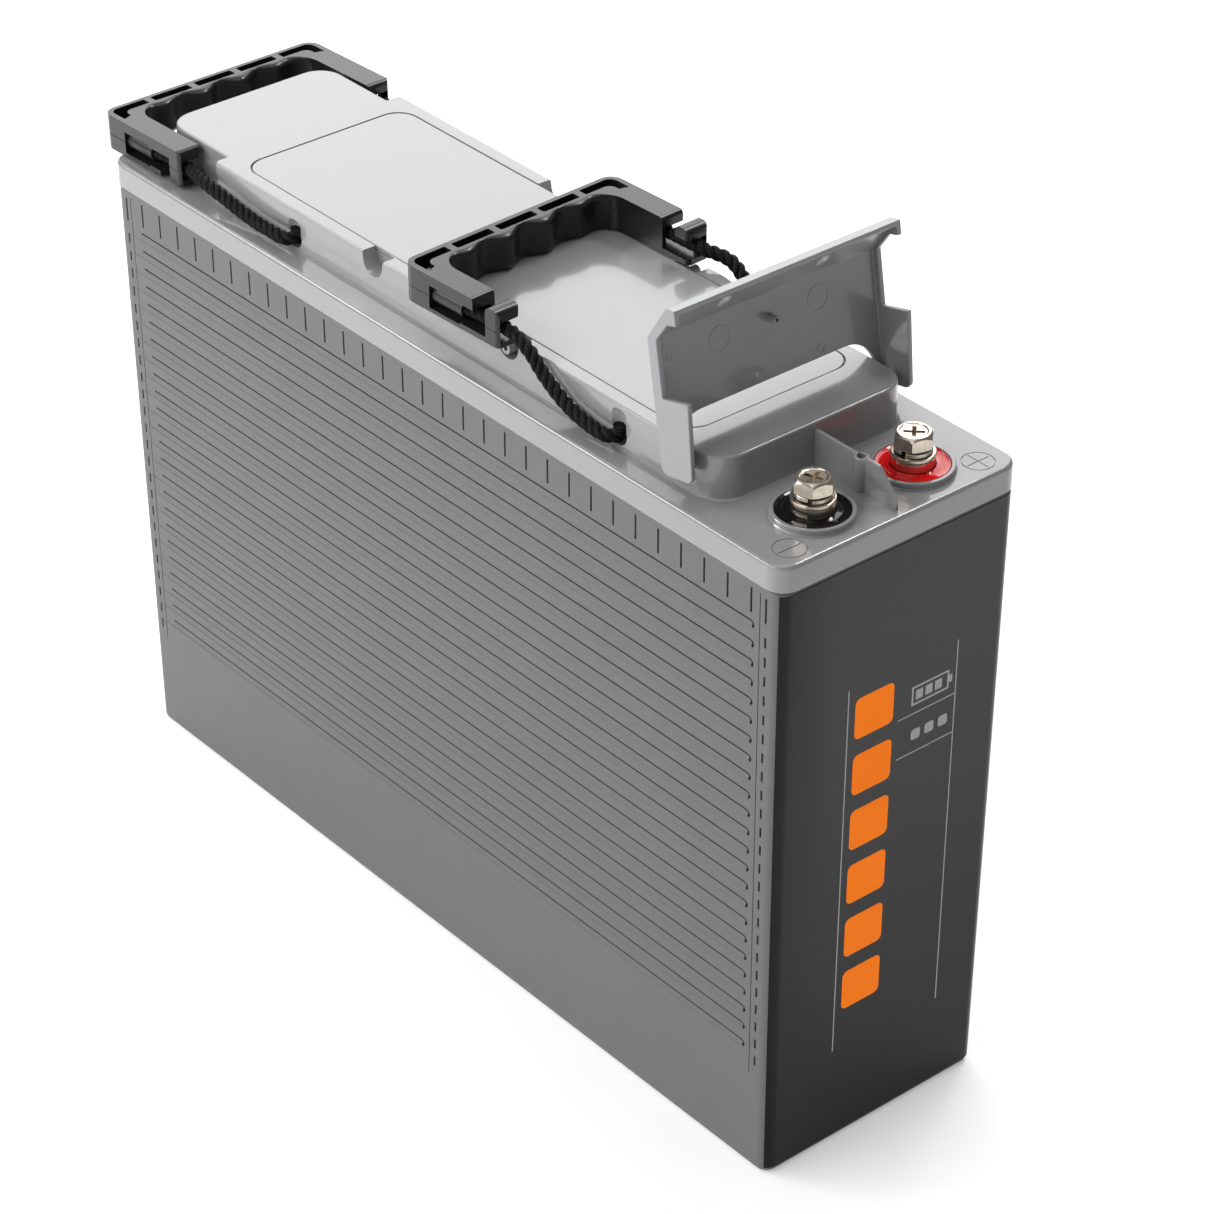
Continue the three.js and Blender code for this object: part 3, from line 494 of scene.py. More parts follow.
def smooth(obj, angle=32):
    for face in obj.data.polygons:
        face.use_smooth = True
    obj.data.set_sharp_from_angle(angle=radians(angle))
    return obj


def finished(obj, look, body="battery", stands_for=(), angle=32):
    smooth(obj, angle)
    flat = obj.modifiers.new("flat", "WEIGHTED_NORMAL")
    flat.keep_sharp, flat.weight = True, 80
    settle(obj)
    obj.data.materials.clear()
    obj.data.materials.append(LOOK[look])
    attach(obj, body)
    if stands_for:
        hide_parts(*stands_for)
    return obj


def taper(mesh, inset):
    """Leans a mesh inwards towards the floor, as the case walls do."""
    for v in mesh.vertices:
        pull = inset * MM * (1 - v.co.z / (CASE["height"] * MM))
        v.co.x -= pull if v.co.x > 0 else -pull
        v.co.y -= pull if v.co.y > 0 else -pull
    return mesh


# ---------------------------------------------------------------- case
RIB = dict(
    count=24, pitch=7.94, top=239.3, height=3.7, end=183.4, start=-181.8, shallow=0.3, line=1.1, deep=1.7,
)
TALL = dict(count=31, start=-178.3, pitch=12.0, low=242, high=252.1, width=1.0)
DASH = dict(x=189.1, first=235.3, length=4.2, width=1.0, long_low=241, long_high=251)
SEAM = dict(x=186.2, width=0.4, low=44, high=252, depth=0.3)
SLIT_DEPTH = 1.6


def case_piece():
    half_x, half_y, top = CASE["length"] / 2, CASE["width"] / 2, CASE["height"]
    levels = [(2.2, 0), (1.2, 0.25), (0.45, 0.9), (0, 2.2), (0, top - 0.6), (0.5, top)]
    shell = skin(layers(levels, half_x, half_y, CASE["corner"]))
    obj = thing("case_shell", taper(shell, CASE["draft"]))
    wall = CASE["wall"]
    inside = rounded(-half_x + wall, half_x - wall, -half_y + wall, half_y - wall, 2)
    combine(obj, [taper(prism(inside, CASE["floor"], top + 3), CASE["draft"])])
    panels, lines = [], []
    for side in (-1, 1):
        face = half_y * side

        def cut(outline, depth, into):
            reach = sorted((face - side * depth, face + side * 2))
            into.append(taper(prism(outline, *reach, plane="xz"), CASE["draft"]))

        for i in range(RIB["count"]):
            z1 = RIB["top"] - i * RIB["pitch"]
            z0, r = z1 - RIB["height"], RIB["height"] / 2
            curve = arc(RIB["end"] - r, z0 + r, r, -90, 90, 8)
            floor_line = [(RIB["start"], z0)] + curve + [(RIB["start"], z1)]
            curve = arc(RIB["end"] - r, z0 + r - 0.2, r + 0.2, -90, 90, 8)
            brim = [(RIB["start"] - 9, z0 - 0.4)] + curve + [(RIB["start"] - 9, z1)]
            levels = ((face - side * RIB["shallow"], floor_line), (face, brim), (face + side * 2, brim))
            panel = skin([[(x, y, z) for x, z in line] for y, line in levels])
            panels.append(taper(panel, CASE["draft"]))
            inner = arc(RIB["end"] - r, z0 + r, r - RIB["line"], -70, 90, 7)
            outer = arc(RIB["end"] - r, z0 + r, r - 0.02, 90, -70, 7)
            left = RIB["start"] + 1.5
            cut([(left, z1 - RIB["line"]), (left, z1 - 0.02)] + outer + inner, RIB["deep"], lines)
        for i in range(TALL["count"]):
            x = TALL["start"] + i * TALL["pitch"]
            w = TALL["width"] / 2
            cut(rect(x - w, x + w, TALL["low"], TALL["high"]), SLIT_DEPTH, lines)
        for end in (-1, 1):
            w = DASH["width"] / 2
            x = end * DASH["x"]
            ends = [DASH["first"] - i * RIB["pitch"] for i in range(RIB["count"])]
            spans = [(z - DASH["length"], z) for z in ends] + [(DASH["long_low"], DASH["long_high"])]
            for z0, z1 in spans:
                cut(rect(x - w, x + w, z0, z1), SLIT_DEPTH, lines)
            x, w = end * SEAM["x"], SEAM["width"] / 2
            cut(rect(x - w, x + w, SEAM["low"], SEAM["high"]), SEAM["depth"], lines)
    combine(obj, [joined(panels)])
    combine(obj, [joined(lines)])
    return finished(obj, "case", stands_for=["case"], angle=28)


case_piece()


# ---------------------------------------------------------------- lid
def plateau_outline(inset, steps=8):
    p = PLATEAU
    half, narrow = p["half"] - inset, p["narrow"] - inset
    back, front, shoulder = p["back"] + inset, p["front"] - inset, p["shoulder"] + inset
    rb, rf = p["back_corner"] - inset, p["front_corner"] - inset
    rs = max(0.3, p["shoulder_corner"] - inset)
    right = (
        [(shoulder, -narrow)] + arc(shoulder + rs, -half + rs, rs, 180, 270, steps)
        + arc(front - rf, -half + rf, rf, -90, 0, steps)
    )
    left = (
        arc(front - rf, half - rf, rf, 0, 90, steps) + arc(shoulder + rs, half - rs, rs, 90, 180, steps)
        + [(shoulder, narrow)]
    )
    rear = arc(back + rb, narrow - rb, rb, 90, 180, steps)
    rear += arc(back + rb, -narrow + rb, rb, 180, 270, steps)
    return right + left + rear


def catmull(points, per_span=CURVE_STEPS):
    """Centripetal Catmull-Rom curve through the points, as the CAD ropes use."""
    pts = [Vector(p) for p in points]
    pts = [2 * pts[0] - pts[1]] + pts + [2 * pts[-1] - pts[-2]]
    line = []
    for a, b, c, d in zip(pts, pts[1:], pts[2:], pts[3:]):
        t0 = 0.0
        t1 = t0 + (b - a).length ** 0.5
        t2 = t1 + (c - b).length ** 0.5
        t3 = t2 + (d - c).length ** 0.5
        for k in range(per_span):
            t = t1 + (t2 - t1) * k / per_span
            ab = a.lerp(b, (t - t0) / (t1 - t0))
            bc = b.lerp(c, (t - t1) / (t2 - t1))
            cd = c.lerp(d, (t - t2) / (t3 - t2))
            abc = ab.lerp(bc, (t - t0) / (t2 - t0))
            bcd = bc.lerp(cd, (t - t1) / (t3 - t1))
            line.append(abc.lerp(bcd, (t - t1) / (t2 - t1)))
    return line + [pts[-2]]


def frames(line):
    """Tangent, normal and binormal at each point, carried along without twist."""
    result = []
    tangent = (line[1] - line[0]).normalized()
    normal = tangent.orthogonal().normalized()
    for i, p in enumerate(line):
        ahead = line[min(i + 1, len(line) - 1)] - line[max(i - 1, 0)]
        ahead.normalize()
        normal = (normal - ahead * normal.dot(ahead)).normalized()
        result.append((p, ahead, normal, ahead.cross(normal)))
    return result


def tube_rings(line, radius, sides):
    rings = []
    turns = [2 * pi * k / sides for k in range(sides)]
    for p, _, n, b in frames(line):
        rings.append([p + (n * cos(t) + b * sin(t)) * radius for t in turns])
    return rings


def handle_matrix(name):
    pose = POSES[name]
    tilt = Matrix.Rotation(radians(-pose["tilt"]), 4, "Y")
    yaw = Matrix.Rotation(radians(pose["yaw"]), 4, "Z")
    return Matrix.Translation(Vector(pose["at"])) @ (tilt @ yaw)


def rope_points(name, where):
    pose, side = POSES[name], SIDES[where]
    place = handle_matrix(name)
    points = [
        place @ Vector((FERRULE_END + 0.3, side * ROPE_SEAT["y"], ROPE_SEAT["z"])),
        place @ Vector((HANDLE["length"] + 1, side * ROPE_SEAT["y"], ROPE_SEAT["z"])),
    ]
    points += [Vector((x, side * y, z)) for x, y, z in ROUTES[name, where]]
    for angle in (75, 45, 15):
        t = radians(angle)
        x = pose["hole_x"] - ROPE["bend"] * (1 - cos(t))
        points.append(Vector((x, side * (ROPE["bend_start"] + ROPE["bend"] * sin(t)), ROPE_HOLE["z"])))
    points.append(Vector((pose["hole_x"], side * (ROPE["bend_start"] - 2), ROPE_HOLE["z"])))
    points.append(Vector((pose["hole_x"], side * ROPE["inner_end"], ROPE_HOLE["z"])))
    return points


def lid_piece():
    p = PLATEAU
    half_x, half_y = LID["length"] / 2, LID["width"] / 2
    low, shelf, top = LID["bottom"], LID["shelf"], p["top"]
    levels = [(0.5, low), (0, low + 0.5), (0, shelf - 1.6), (0.12, shelf - 1.0), (0.47, shelf - 0.47)]
    levels += [(1.0, shelf - 0.12), (1.6, shelf)]
    obj = thing("lid_shell", skin(layers(levels, half_x, half_y, LID["corner"])))
    r = p["edge"]
    levels = [(-1.0, shelf - 1), (-0.9, shelf), (-0.35, shelf + 0.35), (0, shelf + 1.1)]
    levels += [(0.2, shelf + 4), (0.4, top - r)]
    for angle in (22.5, 45, 67.5, 90):
        t = radians(angle)
        levels.append((0.4 + r * (1 - cos(t)), top - r * (1 - sin(t))))
    block = skin([[(x, y, z) for x, y in plateau_outline(inset)] for inset, z in levels])
    combine(obj, [block], "UNION")

    cavity = rounded(PLATEAU["back"] + 5, PLATEAU["front"] - 5, -p["cavity_half"], p["cavity_half"], 6)
    inner = rounded(-half_x + 7, half_x - 7, -half_y + 7, half_y - 7, 3)
    combine(obj, [prism(inner, low - 2, shelf - 3), prism(cavity, low - 1, p["cavity_top"])])
    length, width = PANEL["half_length"], PANEL["half_width"]
    recess = rounded(-length, length, -width, width, PANEL["corner"], 10)
    cuts = [prism(recess, top - PANEL["thickness"] - 0.3, top + 1)]
    pockets = []
    for side in (-1, 1):
        for x in (-NOTCH["x"], NOTCH["x"]):
            outline = [(x + NOTCH["radius"] + 0.6, top + 1), (x - NOTCH["radius"] - 0.6, top + 1)]
            outline += arc(x, NOTCH["axis_z"], NOTCH["radius"], 180, 360, 14)
            cuts.append(
                prism(outline, *sorted((side * NOTCH["inner"], side * p["cut_out"])), plane="xz")
            )
        pockets.append(
            pin(VENT["radius"] + 0.1, VENT["x"], VENT["z"], side * p["cut_in"], side * p["cut_out"])
        )
        pockets.append(
            pin(HINGE["socket"], HINGE["x"], HINGE["z"], side * HINGE["socket_end"], side * p["cut_out"])
        )
        for hole_x in (ROPE_HOLE["rear_x"], ROPE_HOLE["front_x"]):
            z, rr = ROPE_HOLE["z"], ROPE_HOLE["radius"] - 0.4
            outline = arc(hole_x, z, rr, -90, 90, 10) + arc(hole_x - 1.5, z, rr, 90, 270, 10)
            pockets.append(
                prism(outline, *sorted((side * p["cut_in"], side * p["cut_out"])), plane="xz")
            )
    for name in POSES:
        for where, side in SIDES.items():
            deep = []
            for v in catmull(rope_points(name, where))[CURVE_STEPS * 2:-CURVE_STEPS * 4]:
                deep.append(Vector((v.x, v.y - side * SCOOP["inset"], v.z)))
            pockets.append(skin(tube_rings(deep, SCOOP["radius"], 16)))
            # upright rounded groove above the hole
            high, w = GROOVE["top"][name], GROOVE["radius"]
            groove = [
                (0, ROPE_HOLE["z"]), (w, ROPE_HOLE["z"]), (w, high - 2.2), (w - 0.6, high - 0.8),
                (w - 2.1, high), (0, high),
            ]
            pockets.append(turned(groove, POSES[name]["hole_x"] - 0.4, side * GROOVE["y"], 40))
    combine(obj, cuts)
    combine(obj, pockets)

    d = DIVIDER
    fin = [
        (PLATEAU["front"] - 2, shelf - 1), (d["end"], shelf - 1), (d["end"], d["foot"]),
        (d["slope_start"], d["top"]), (PLATEAU["front"] - 2, d["top"]),
    ]
    blade = soften(thing("fin", prism(fin, -d["thickness"] / 2, d["thickness"] / 2, "xz")), 0.3, 2)
    extras = [blade.data.copy()]
    bpy.data.objects.remove(blade)
    r, z = POST["radius"], POST["top"]
    post = [(0, shelf - 1), (r, shelf - 1), (r, z - 0.3), (r - 0.3, z), (0, z)]
    extras.append(turned(post, POST["x"]))
    for side in (-1, 1):
        a, b, t = RING["outer"], RING["inner"], RING["top"]
        lip = [(b, shelf - 1), (a + 0.5, shelf - 1), (a + 0.4, shelf + 0.1), (a, shelf + 0.5)]
        lip += [(a, t - 0.3), (a - 0.3, t), (b + 0.2, t), (b, t - 0.2)]
        extras.append(turned(lip, TERMINAL["x"], side * TERMINAL["y"], 72))
        boss = rect(0, TERMINAL["boss"], low + 0.6, shelf - 0.5)
        extras.append(turned(boss, TERMINAL["x"], side * TERMINAL["y"]))
    combine(obj, extras, "UNION")
    bores = [turned(rect(0, POST["bore"], POST["bore_bottom"], z + 1), POST["x"])]
    for side in (-1, 1):
        hole = rect(0, TERMINAL["hole"], low - 1, shelf + 1)
        bores.append(turned(hole, TERMINAL["x"], side * TERMINAL["y"]))
        # moulded plus and minus, each in a ring
        m = MARK
        cx, cy, z0, z1 = m["x"], side * m["y"], shelf - m["depth"], shelf + 1
        bores.append(turned(rect(m["inner"], m["outer"], z0, z1), cx, cy, 56))
        w, reach = m["half_line"], m["bar"]
        bores.append(box(cx - w, cx + w, cy - reach, cy + reach, z0, z1))
        if side > 0:
            bores.append(box(cx - reach, cx + reach, cy - w, cy + w, z0, z1))
    combine(obj, bores)
    return finished(obj, "lid", stands_for=["lid"], angle=30)


lid_piece()


def strip_piece():
    top, g = PLATEAU["top"], PANEL["groove"]
    levels = [(0, top - PANEL["thickness"]), (0, top - 0.5), (0.15, top - 0.15), (0.5, top)]
    rings = layers(levels, PANEL["half_length"] - g, PANEL["half_width"] - g, PANEL["corner"], 12)
    return finished(thing("strip_inlay", skin(rings)), "lid", stands_for=["top_strip"])


strip_piece()


# ---------------------------------------------------------------- terminals
def ring_size(part):
    return part["inner"], part["outer"], part["bottom"], part["top"]


def terminal_pieces(pole, side):
    x, y = TERMINAL["x"], side * TERMINAL["y"]
    a, b, low, top = ring_size(EPOXY)
    profile = [
        (a, low), (b, low), (b, top), (b - 0.5, top - 0.12), (b - 1.3, top - 0.42), (b - 2.6, top - 0.5),
        (a + 1.6, top - 0.45), (a + 0.6, top - 0.2), (a, top),
    ]
    look = "black_resin" if side < 0 else "red_resin"
    resin = thing(f"resin_{pole}", turned(profile, x, y, 72))
    finished(resin, look, stands_for=[f"epoxy_disc_{pole}"], angle=50)

    a, b, low, top = ring_size(FLAT_WASHER)
    profile = [(a, low), (b - 0.2, low), (b, low + 0.2), (b, top - 0.45), (b - 0.15, top - 0.15)]
    profile += [(b - 0.5, top), (a, top)]
    washer = thing(f"washer_{pole}", turned(profile, x, y, 64))
    finished(washer, "nickel", stands_for=[f"flat_washer_{pole}"])

    a, b, low, top = ring_size(SPRING_WASHER)
    rings = []
    steps, gap, rise = 64, 0.12, 0.5
    thick = top - low - rise
    turn0 = -0.9 if side < 0 else -1.3
    for k in range(steps + 1):
        t = turn0 + gap + (2 * pi - 2 * gap) * k / steps
        z0 = low + rise * k / steps
        z1 = z0 + thick
        section = [(a, z0), (b - 0.2, z0), (b, z0 + 0.2), (b, z1 - 0.2), (b - 0.2, z1), (a, z1)]
        rings.append([(x + r * cos(t), y + r * sin(t), z) for r, z in section])
    washer = thing(f"split_washer_{pole}", skin(rings))
    finished(washer, "nickel", stands_for=[f"spring_washer_{pole}"])

    b = BOLT
    low, top = b["bottom"], b["top"]
    twist = radians(16 if side < 0 else 12)
    rc = b["across_corners"] / 2
    hexagon = [(x + rc * cos(twist + k * pi / 3), y + rc * sin(twist + k * pi / 3)) for k in range(6)]
    head = thing(f"bolt_{pole}", prism(hexagon, low, top))
    ra = rc * cos(pi / 6)
    limits = [
        (0, low), (ra + 0.1, low), (rc + 0.1, low + 0.5), (rc + 0.1, top - 1.5), (ra, top - 0.55),
        (ra - 0.55, top), (0, top),
    ]
    combine(head, [turned(limits, x, y, 72)], "INTERSECT")
    dish = [(0, top - 0.6), (4.3, top - 0.5), (5.0, top - 0.25), (5.4, top + 1), (0, top + 1)]
    combine(head, [turned(dish, x, y, 64)])
    c = CROSS
    long, wide = c["length"] / 2, c["width"] / 2
    bars = []
    for k in (0, 1):
        bar = box(-long, long, -wide, wide, top - c["depth"] - 1, top + 1)
        spin = Matrix.Rotation(radians(20 if side < 0 else 45) + k * pi / 2, 4, "Z")
        bar.transform(Matrix.Translation((x * MM, y * MM, 0)) @ spin)
        bars.append(bar)
    combine(head, bars)
    soften(head, 0.12, 2, 30)
    r, tip = b["shank"], b["tip"]
    shank = [(0, tip), (r - 0.8, tip), (r, tip + 0.8), (r, low + 0.3), (0, low + 0.3)]
    combine(head, [turned(shank, x, y, 40)], "UNION")
    finished(head, "nickel", stands_for=[f"terminal_bolt_{pole}"], angle=28)


for pole, side in POLES.items():
    terminal_pieces(pole, side)


# ---------------------------------------------------------------- cover
def cover_piece():
    c, k = COVER, CHAMFER
    inner, foot_top = c["outer"] + c["plate"], c["foot"] + c["foot_corner"]
    shell = [
        (c["outer"], foot_top), (inner, foot_top), (inner, k["inner_low"]), (
            k["inner_reach"], k["top"] - k["plate"],
        ),
        (
            k["lip_end"], k["top"] - k["plate"],
        ), (k["lip_end"], k["top"]), (k["reach"], k["top"]), (c["outer"], k["low"]),
    ]
    obj = thing("cover_moulding", prism(shell, -c["half"], c["half"], "xz"))
    r = c["foot_corner"]
    wall = [(c["outer"], k["low"])] + arc(c["outer"] + r, foot_top, r, 180, 270, 6)
    wall += arc(c["toe"] - r, foot_top, r, 270, 360, 6) + [
        (
            c["brow"], c["brow_height"],
        ), (c["rail"], c["step"]), (c["rail"], k["low"]), (k["reach"], k["gusset_top"]),
        (k["lip_end"], k["gusset_end"]), (k["lip_end"], k["top"]), (k["reach"], k["top"]),
    ]
    parts = []
    for side in (-1, 1):
        reach = sorted((side * (c["half"] - c["skirt"]), side * c["half"]))
        parts.append(prism(wall, *reach, plane="xz"))
    combine(obj, parts, "UNION")
    h, e, t = c["cut_half"], c["cut_corner"], c["cut_top"]
    cutout = [(-h, -6), (h, -6)] + arc(h - e, t - e, e, 0, 90, 12) + arc(-h + e, t - e, e, 90, 180, 12)
    combine(obj, [prism(cutout, c["outer"] - 1, inner + 1, "yz")])
    soften(obj, 0.45, 3, 30)
    slope = atan2(k["top"] - k["low"], k["reach"] - c["outer"])
    cuts, marks = [], []
    for side in (-1, 1):
        bore = turned([(0, -4), (k["hole"], -4), (k["hole"], 4), (0, 4)], steps=40)
        centre = ((c["outer"] + k["reach"]) / 2, side * k["hole_y"], (k["low"] + k["top"]) / 2)
        bore.transform(Matrix.Translation(Vector(centre) * MM) @ Matrix.Rotation(-slope, 4, "Y"))
        cuts.append(bore)
    for y, up, size in COVER_RINGS:
        ring = turned([(size - 0.3, 0), (size, 0), (size, 1), (size - 0.3, 1)], steps=40)
        ring.transform(
            Matrix.Translation(Vector((inner - 0.12, y, up)) * MM) @ Matrix.Rotation(pi / 2, 4, "Y")
        )
        marks.append(ring)
    combine(obj, cuts)
    combine(obj, marks)
    bore, thick, high = PEG["bore"], PEG["radius"], PEG["length"]
    peg = [
        (bore, 0), (thick + 0.5, 0), (thick, 0.9), (thick - 0.2, high - 0.4), (thick - 0.5, high),
        (bore, high),
    ]
    peg = turned(peg, steps=32)
    peg.transform(
        Matrix.Translation(Vector((inner - 0.5, 0, PEG["s"])) * MM) @ Matrix.Rotation(pi / 2, 4, "Y")
    )
    pins = [pin(HINGE["pin"], 0, 0, side * HINGE["pin_end"], side * (c["half"] - 1)) for side in (-1, 1)]
    combine(obj, [peg] + pins, "UNION")
    lean = Matrix.Rotation(radians(-HINGE["lean"]), 4, "Y")
    obj.data.transform(Matrix.Translation(Vector((HINGE["x"], 0, HINGE["z"])) * MM) @ lean)
    return finished(obj, "cover", "cover", ["terminal_cover"], angle=32)


cover_piece()


# ---------------------------------------------------------------- handles
def handle_outline(roll=0.0):
    """Plan of the handle. roll (0 to 1) draws the finger side back, as where its edges round over."""
    h = HANDLE
    reach = h["leg"] - h["inner_corner"]
    back = FINGER["round"] * roll
    points = [(h["length"], -h["half"]), (h["length"], -h["leg"])]

    def inner_corner(side, turns):
        corner = []
        for k in turns:
            t = radians(90 * k / 8)
            r = h["inner_corner"] + back * cos(t) ** 2
            corner.append(
                (h["grip"] + h["inner_corner"] - r * cos(t), side * (reach + h["inner_corner"] * sin(t)))
            )
        return corner

    points += inner_corner(-1, range(8, -1, -1))
    steps = 72
    for i in range(1, steps):
        y = -reach + 2 * reach * i / steps
        swell = cos(2 * pi * y / FINGER["pitch"] + pi) * cos(pi / 2 * y / reach) ** 0.5
        points.append((h["grip"] + FINGER["depth"] * swell * (1 - 0.7 * roll) - back, y))
    points += inner_corner(1, range(0, 9))
    points += [(h["length"], h["leg"]), (h["length"], h["half"])]
    c = h["outer_corner"]
    points += arc(c, h["half"] - c, c, 90, 180, 8) + arc(c, -h["half"] + c, c, 180, 270, 8)
    return points


def handle_block(name):
    """The handle before its pockets and slots: finger side rolled over, other edges softened."""
    r, t = FINGER["round"], HANDLE["thickness"]
    levels = [(1 - cos(a), r - r * sin(a)) for a in QUARTER[::-1]]
    levels += [(roll, t - z) for roll, z in levels[::-1]]
    rings = [[(x, y, z) for x, y in handle_outline(roll)] for roll, z in levels]
    obj = thing(f"{name}_grip", skin(rings))
    combine(obj, leg_end_rounding(HANDLE))
    return soften(obj, 1.6, 4, 50)


def leg_end_rounding(h):
    """Cutters that round the four upright edges where each leg stops."""
    cutters = []
    for side in (-1, 1):
        for y, into in ((side * h["half"], -side), (side * h["leg"], side)):
            r, x = 2.0, h["length"]
            sweep = [(x - r + r * sin(t), y + into * (r - r * cos(t))) for t in QUARTER]
            corner = sweep + [(x + 1, y + into * r), (x + 1, y - into), (x - r, y - into)]
            cutters.append(prism(corner, -1, h["thickness"] + 1))
    return cutters


def corner_pocket(side, top):
    """L-shaped pocket in a grip corner: deep along the grip, shallow where it turns into the leg."""
    p = POCKET
    r, inner = p["corner_outer"], p["corner_inner"]
    near, far = p["corner_start"], p["corner_half"]
    deep = [(p["front"], far), (p["front"], near), (p["back"], near)]
    deep += arc(p["back"] + r, far - r, r, 180, 90, 6)
    shallow = [(p["front"] - 1, far), (p["leg_end"], far), (p["leg_end"] - 1.5, far - p["leg_width"])]
    shallow += arc(p["front"] + inner, far - p["leg_width"] - inner, inner, 90, 180, 6)
    shallow.append((p["front"] - 1, far - p["leg_width"] - inner))
    return [
        prism([(x, side * y) for x, y in deep], p["floor"], top),
        prism([(x, side * y) for x, y in shallow], p["leg_floor"], top),
    ]


def handle_piece(name):
    h, pose = HANDLE, POSES[name]
    obj = handle_block(name)
    top, roof = h["thickness"] + 1, ROPE_SEAT["z"] + ROPE_SEAT["clear"]
    opening = (-1, roof) if pose["slot_down"] else (SLOT["floor"], top)
    cuts = []
    for step in (-1, 0, 1):
        y = step * POCKET["pitch"]
        across = (y - POCKET["half"], y + POCKET["half"])
        cuts.append(soft_box(POCKET["back"], POCKET["front"], *across, POCKET["floor"], top))
    for side in (-1, 1):

        def span(a, b):
            return sorted((side * a, side * b))

        cuts += corner_pocket(side, top)
        outside, inside = h["half"] + 1, h["leg"] - 1
        seat, clear, floor = ROPE_SEAT["y"], ROPE_SEAT["clear"], SLOT["floor"]
        socket = (*span(h["half"] - SOCKET["depth"], outside), SOCKET["low"], SOCKET["high"])
        cuts.append(box(SOCKET["start"], SOCKET["end"], *socket))
        cuts.append(box(SOCKET["end"] - 1, SLOT["start"] + 1, *span(seat - clear, outside), floor, roof))
        cuts.append(box(SLOT["start"], SLOT["end"], *span(inside, outside), *opening))
        cuts.append(box(SLOT["end"] - 1, h["length"] + 1, *span(inside, seat + clear), floor, roof))
    for edge, away, r in LEG_ENDS["slot_down" if pose["slot_down"] else "slot_up"]:
        z = h["thickness"] - r
        swept = [(edge + away * r * (1 - cos(t)), z + r * sin(t)) for t in QUARTER]
        swept += [(edge + away * r, top), (edge - away * 0.5, top), (edge - away * 0.5, z)]
        for side in (-1, 1):
            reach = sorted((side * (h["leg"] - 1), side * (h["half"] + 1)))
            cuts.append(prism(swept, *reach, plane="xz"))
    combine(obj, cuts)
    soften(obj, 0.3, 2, 50)
    wide, deep, z = PARTING["half_width"], PARTING["depth"], PARTING["z"]
    around = rect(-3, h["length"] + 3, -h["half"] - 3, h["half"] + 3)
    c = h["outer_corner"]
    kept = [(h["length"] + 4, -h["half"] + deep), (h["length"] + 4, h["half"] - deep)]
    kept += arc(c, h["half"] - c, c - deep, 90, 180, 8) + arc(c, -h["half"] + c, c - deep, 180, 270, 8)
    sheet = thing("seam", prism(around, z - wide, z + wide))
    combine(sheet, [prism(kept, z - 1, z + 1)])
    seam = sheet.data.copy()
    bpy.data.objects.remove(sheet)
    combine(obj, [seam])
    place = handle_matrix(name)
    place.translation *= MM
    obj.data.transform(place)
    return finished(obj, "handle", f"{name}_handle_set", [f"{name}_handle"], angle=38)


# ---------------------------------------------------------------- ropes
def rope_piece(name, where):
    line = catmull(rope_points(name, where), 24)
    length = 0.0
    marks = [0.0]
    for a, b in zip(line, line[1:]):
        length += (b - a).length
        marks.append(length)
    strand_radius = ROPE["radius"] / (1 + 2 / sqrt(3)) * 1.03
    offset = ROPE["radius"] - strand_radius
    bm = bmesh.new()
    uv = bm.loops.layers.uv.new("along")
    sides = 14
    for strand in range(3):
        centres = []
        for (p, _, n, b), s in zip(frames(line), marks):
            a = 2 * pi * (s / ROPE["pitch"] + strand / 3)
            centres.append(p + (n * cos(a) + b * sin(a)) * offset)
        rows = [
            [bm.verts.new(v * MM) for v in ring] for ring in tube_rings(centres, strand_radius, sides)
        ]
        for i, (low, high) in enumerate(zip(rows, rows[1:])):
            for k in range(sides):
                j = (k + 1) % sides
                face = bm.faces.new((low[k], low[j], high[j], high[k]))
                for loop, (u, v) in zip(face.loops, ((k, i), (k + 1, i), (k + 1, i + 1), (k, i + 1))):
                    loop[uv].uv = (u / sides * 4, marks[v] / 2.4)
        bm.faces.new(rows[0][::-1])
        bm.faces.new(rows[-1])
    bmesh.ops.recalc_face_normals(bm, faces=bm.faces)
    mesh = bpy.data.meshes.new("rope")
    bm.to_mesh(mesh)
    bm.free()
    node = f"{name}_rope_{where}"
    obj = finished(
        thing(f"{name}_twist_{where}", mesh), "rope", f"{name}_handle_set", [node], angle=60,
    )
    return obj


for name in POSES:
    handle_piece(name)
    for where in SIDES:
        rope_piece(name, where)


# ---------------------------------------------------------------- label
# wrap is how far, in degrees, the film turns round the case corners.
LABEL = dict(bottom=2.5, top=253.8, proud=0.3, wrap=52)


def label_piece():
    half_x, half_y, c = CASE["length"] / 2, CASE["width"] / 2, CASE["corner"]
    rings = []
    for z in (LABEL["bottom"], LABEL["top"]):
        x, y, wrap = half_x - c, half_y - c, LABEL["wrap"]
        face, back = c + LABEL["proud"], c + 0.05
        outer = arc(x, -y, face, -wrap, 0, 6) + arc(x, y, face, 0, wrap, 6)
        inner = arc(x, y, back, wrap, 0, 6) + arc(x, -y, back, 0, -wrap, 6)
        rings.append([(x, y, z) for x, y in outer + inner])
    film = thing("label_film", taper(skin(rings), CASE["draft"]))
    finished(film, "label", stands_for=["front_label"])


label_piece()


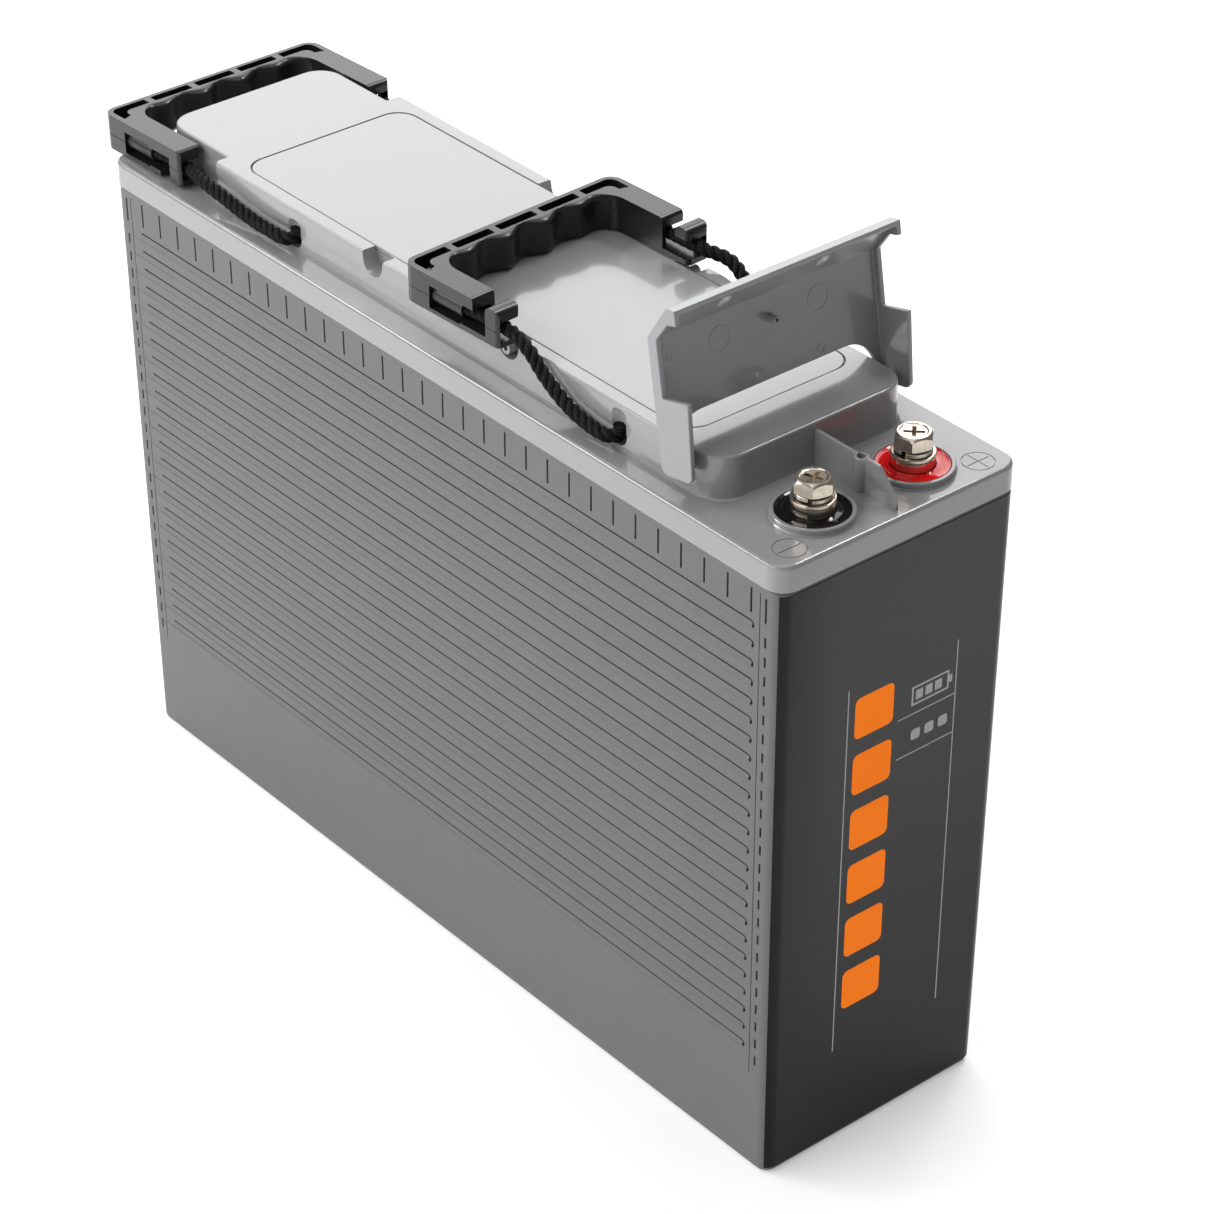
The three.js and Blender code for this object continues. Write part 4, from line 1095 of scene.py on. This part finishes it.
def print_on_label(name, look, shapes):
    """Thin ink shapes on the label, each a list of (y, z) outline points."""
    face = CASE["length"] / 2 + LABEL["proud"]
    sheets = [prism(outline, face - 0.1, face + 0.06, "yz") for outline in shapes]
    mesh = joined(sheets)
    for v in mesh.vertices:
        v.co.x -= CASE["draft"] * MM * (1 - v.co.z / (CASE["height"] * MM))
    finished(thing(name, mesh), look)


gauge = [rounded(-18.2, 0.2, z, z + 17.2, 2.4, 5) for z in (60.5, 84.5, 108.5, 132.5, 156.5, 180.5)]
print_on_label("ink_orange", "orange", gauge)
rules = [rect(-21.85, -21.35, 43, 203), rect(30.3, 30.8, 41, 202)]
rules += [rect(3, 30.8, 179.2, 179.7), rect(3, 30.8, 162.4, 162.9)]
icon = [rect(9, 27, 190.2, 191), rect(9, 27, 183, 183.8), rect(9, 9.8, 183.8, 190.2)]
icon += [rect(26.2, 27, 183.8, 190.2), rect(27, 28.6, 185.4, 188.6)]
icon += [rect(11, 14.4, 185, 189), rect(15.6, 19, 185, 189), rect(20.2, 23.6, 185, 189)]
dots = [rounded(y, y + 4.4, 168, 172.4, 1, 3) for y in (9.6, 16.2, 22.8)]
print_on_label("ink_pale", "pale", rules + icon + dots)


# ---------------------------------------------------------------- CAD nodes that keep their shape
CARRIED = {
    "lid": ["vent_tube_near", "vent_tube_far"],
    "nickel": ["terminal_insert_negative", "terminal_insert_positive"],
    "ferrule": [f"{n}_ferrule_{w}" for n in POSES for w in SIDES],
    "rope": [f"{n}_rope_stop_{w}" for n in POSES for w in SIDES],
    "cell": [f"cell_{i}" for i in (1, 2, 3, 4)],
    "copper": ["busbar_rear", "busbar_middle", "busbar_front"],
    "foam": ["base_pad", "rear_spacer", "front_spacer", "cell_sheet", "upper_foam"],
    "deck": ["insulating_deck"],
    "board": ["management_board"],
    "aluminium": ["heat_spreader"],
    "black_cable": ["negative_cable"],
    "red_cable": ["positive_cable"],
}
for look, names in CARRIED.items():
    for name in names:
        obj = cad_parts[name]
        obj.data.materials.clear()
        obj.data.materials.append(LOOK[look])

# ---------------------------------------------------------------- floor
floor_look = moulded("floor_white", 0xF4F4F4, rough=0.75, grain=40, depth=0.00002, mottle=0.005, **GLOW)
floor = thing("floor", box(-4000, 4000, -4000, 4000, -4, -0.2))
floor.data.materials.append(floor_look)
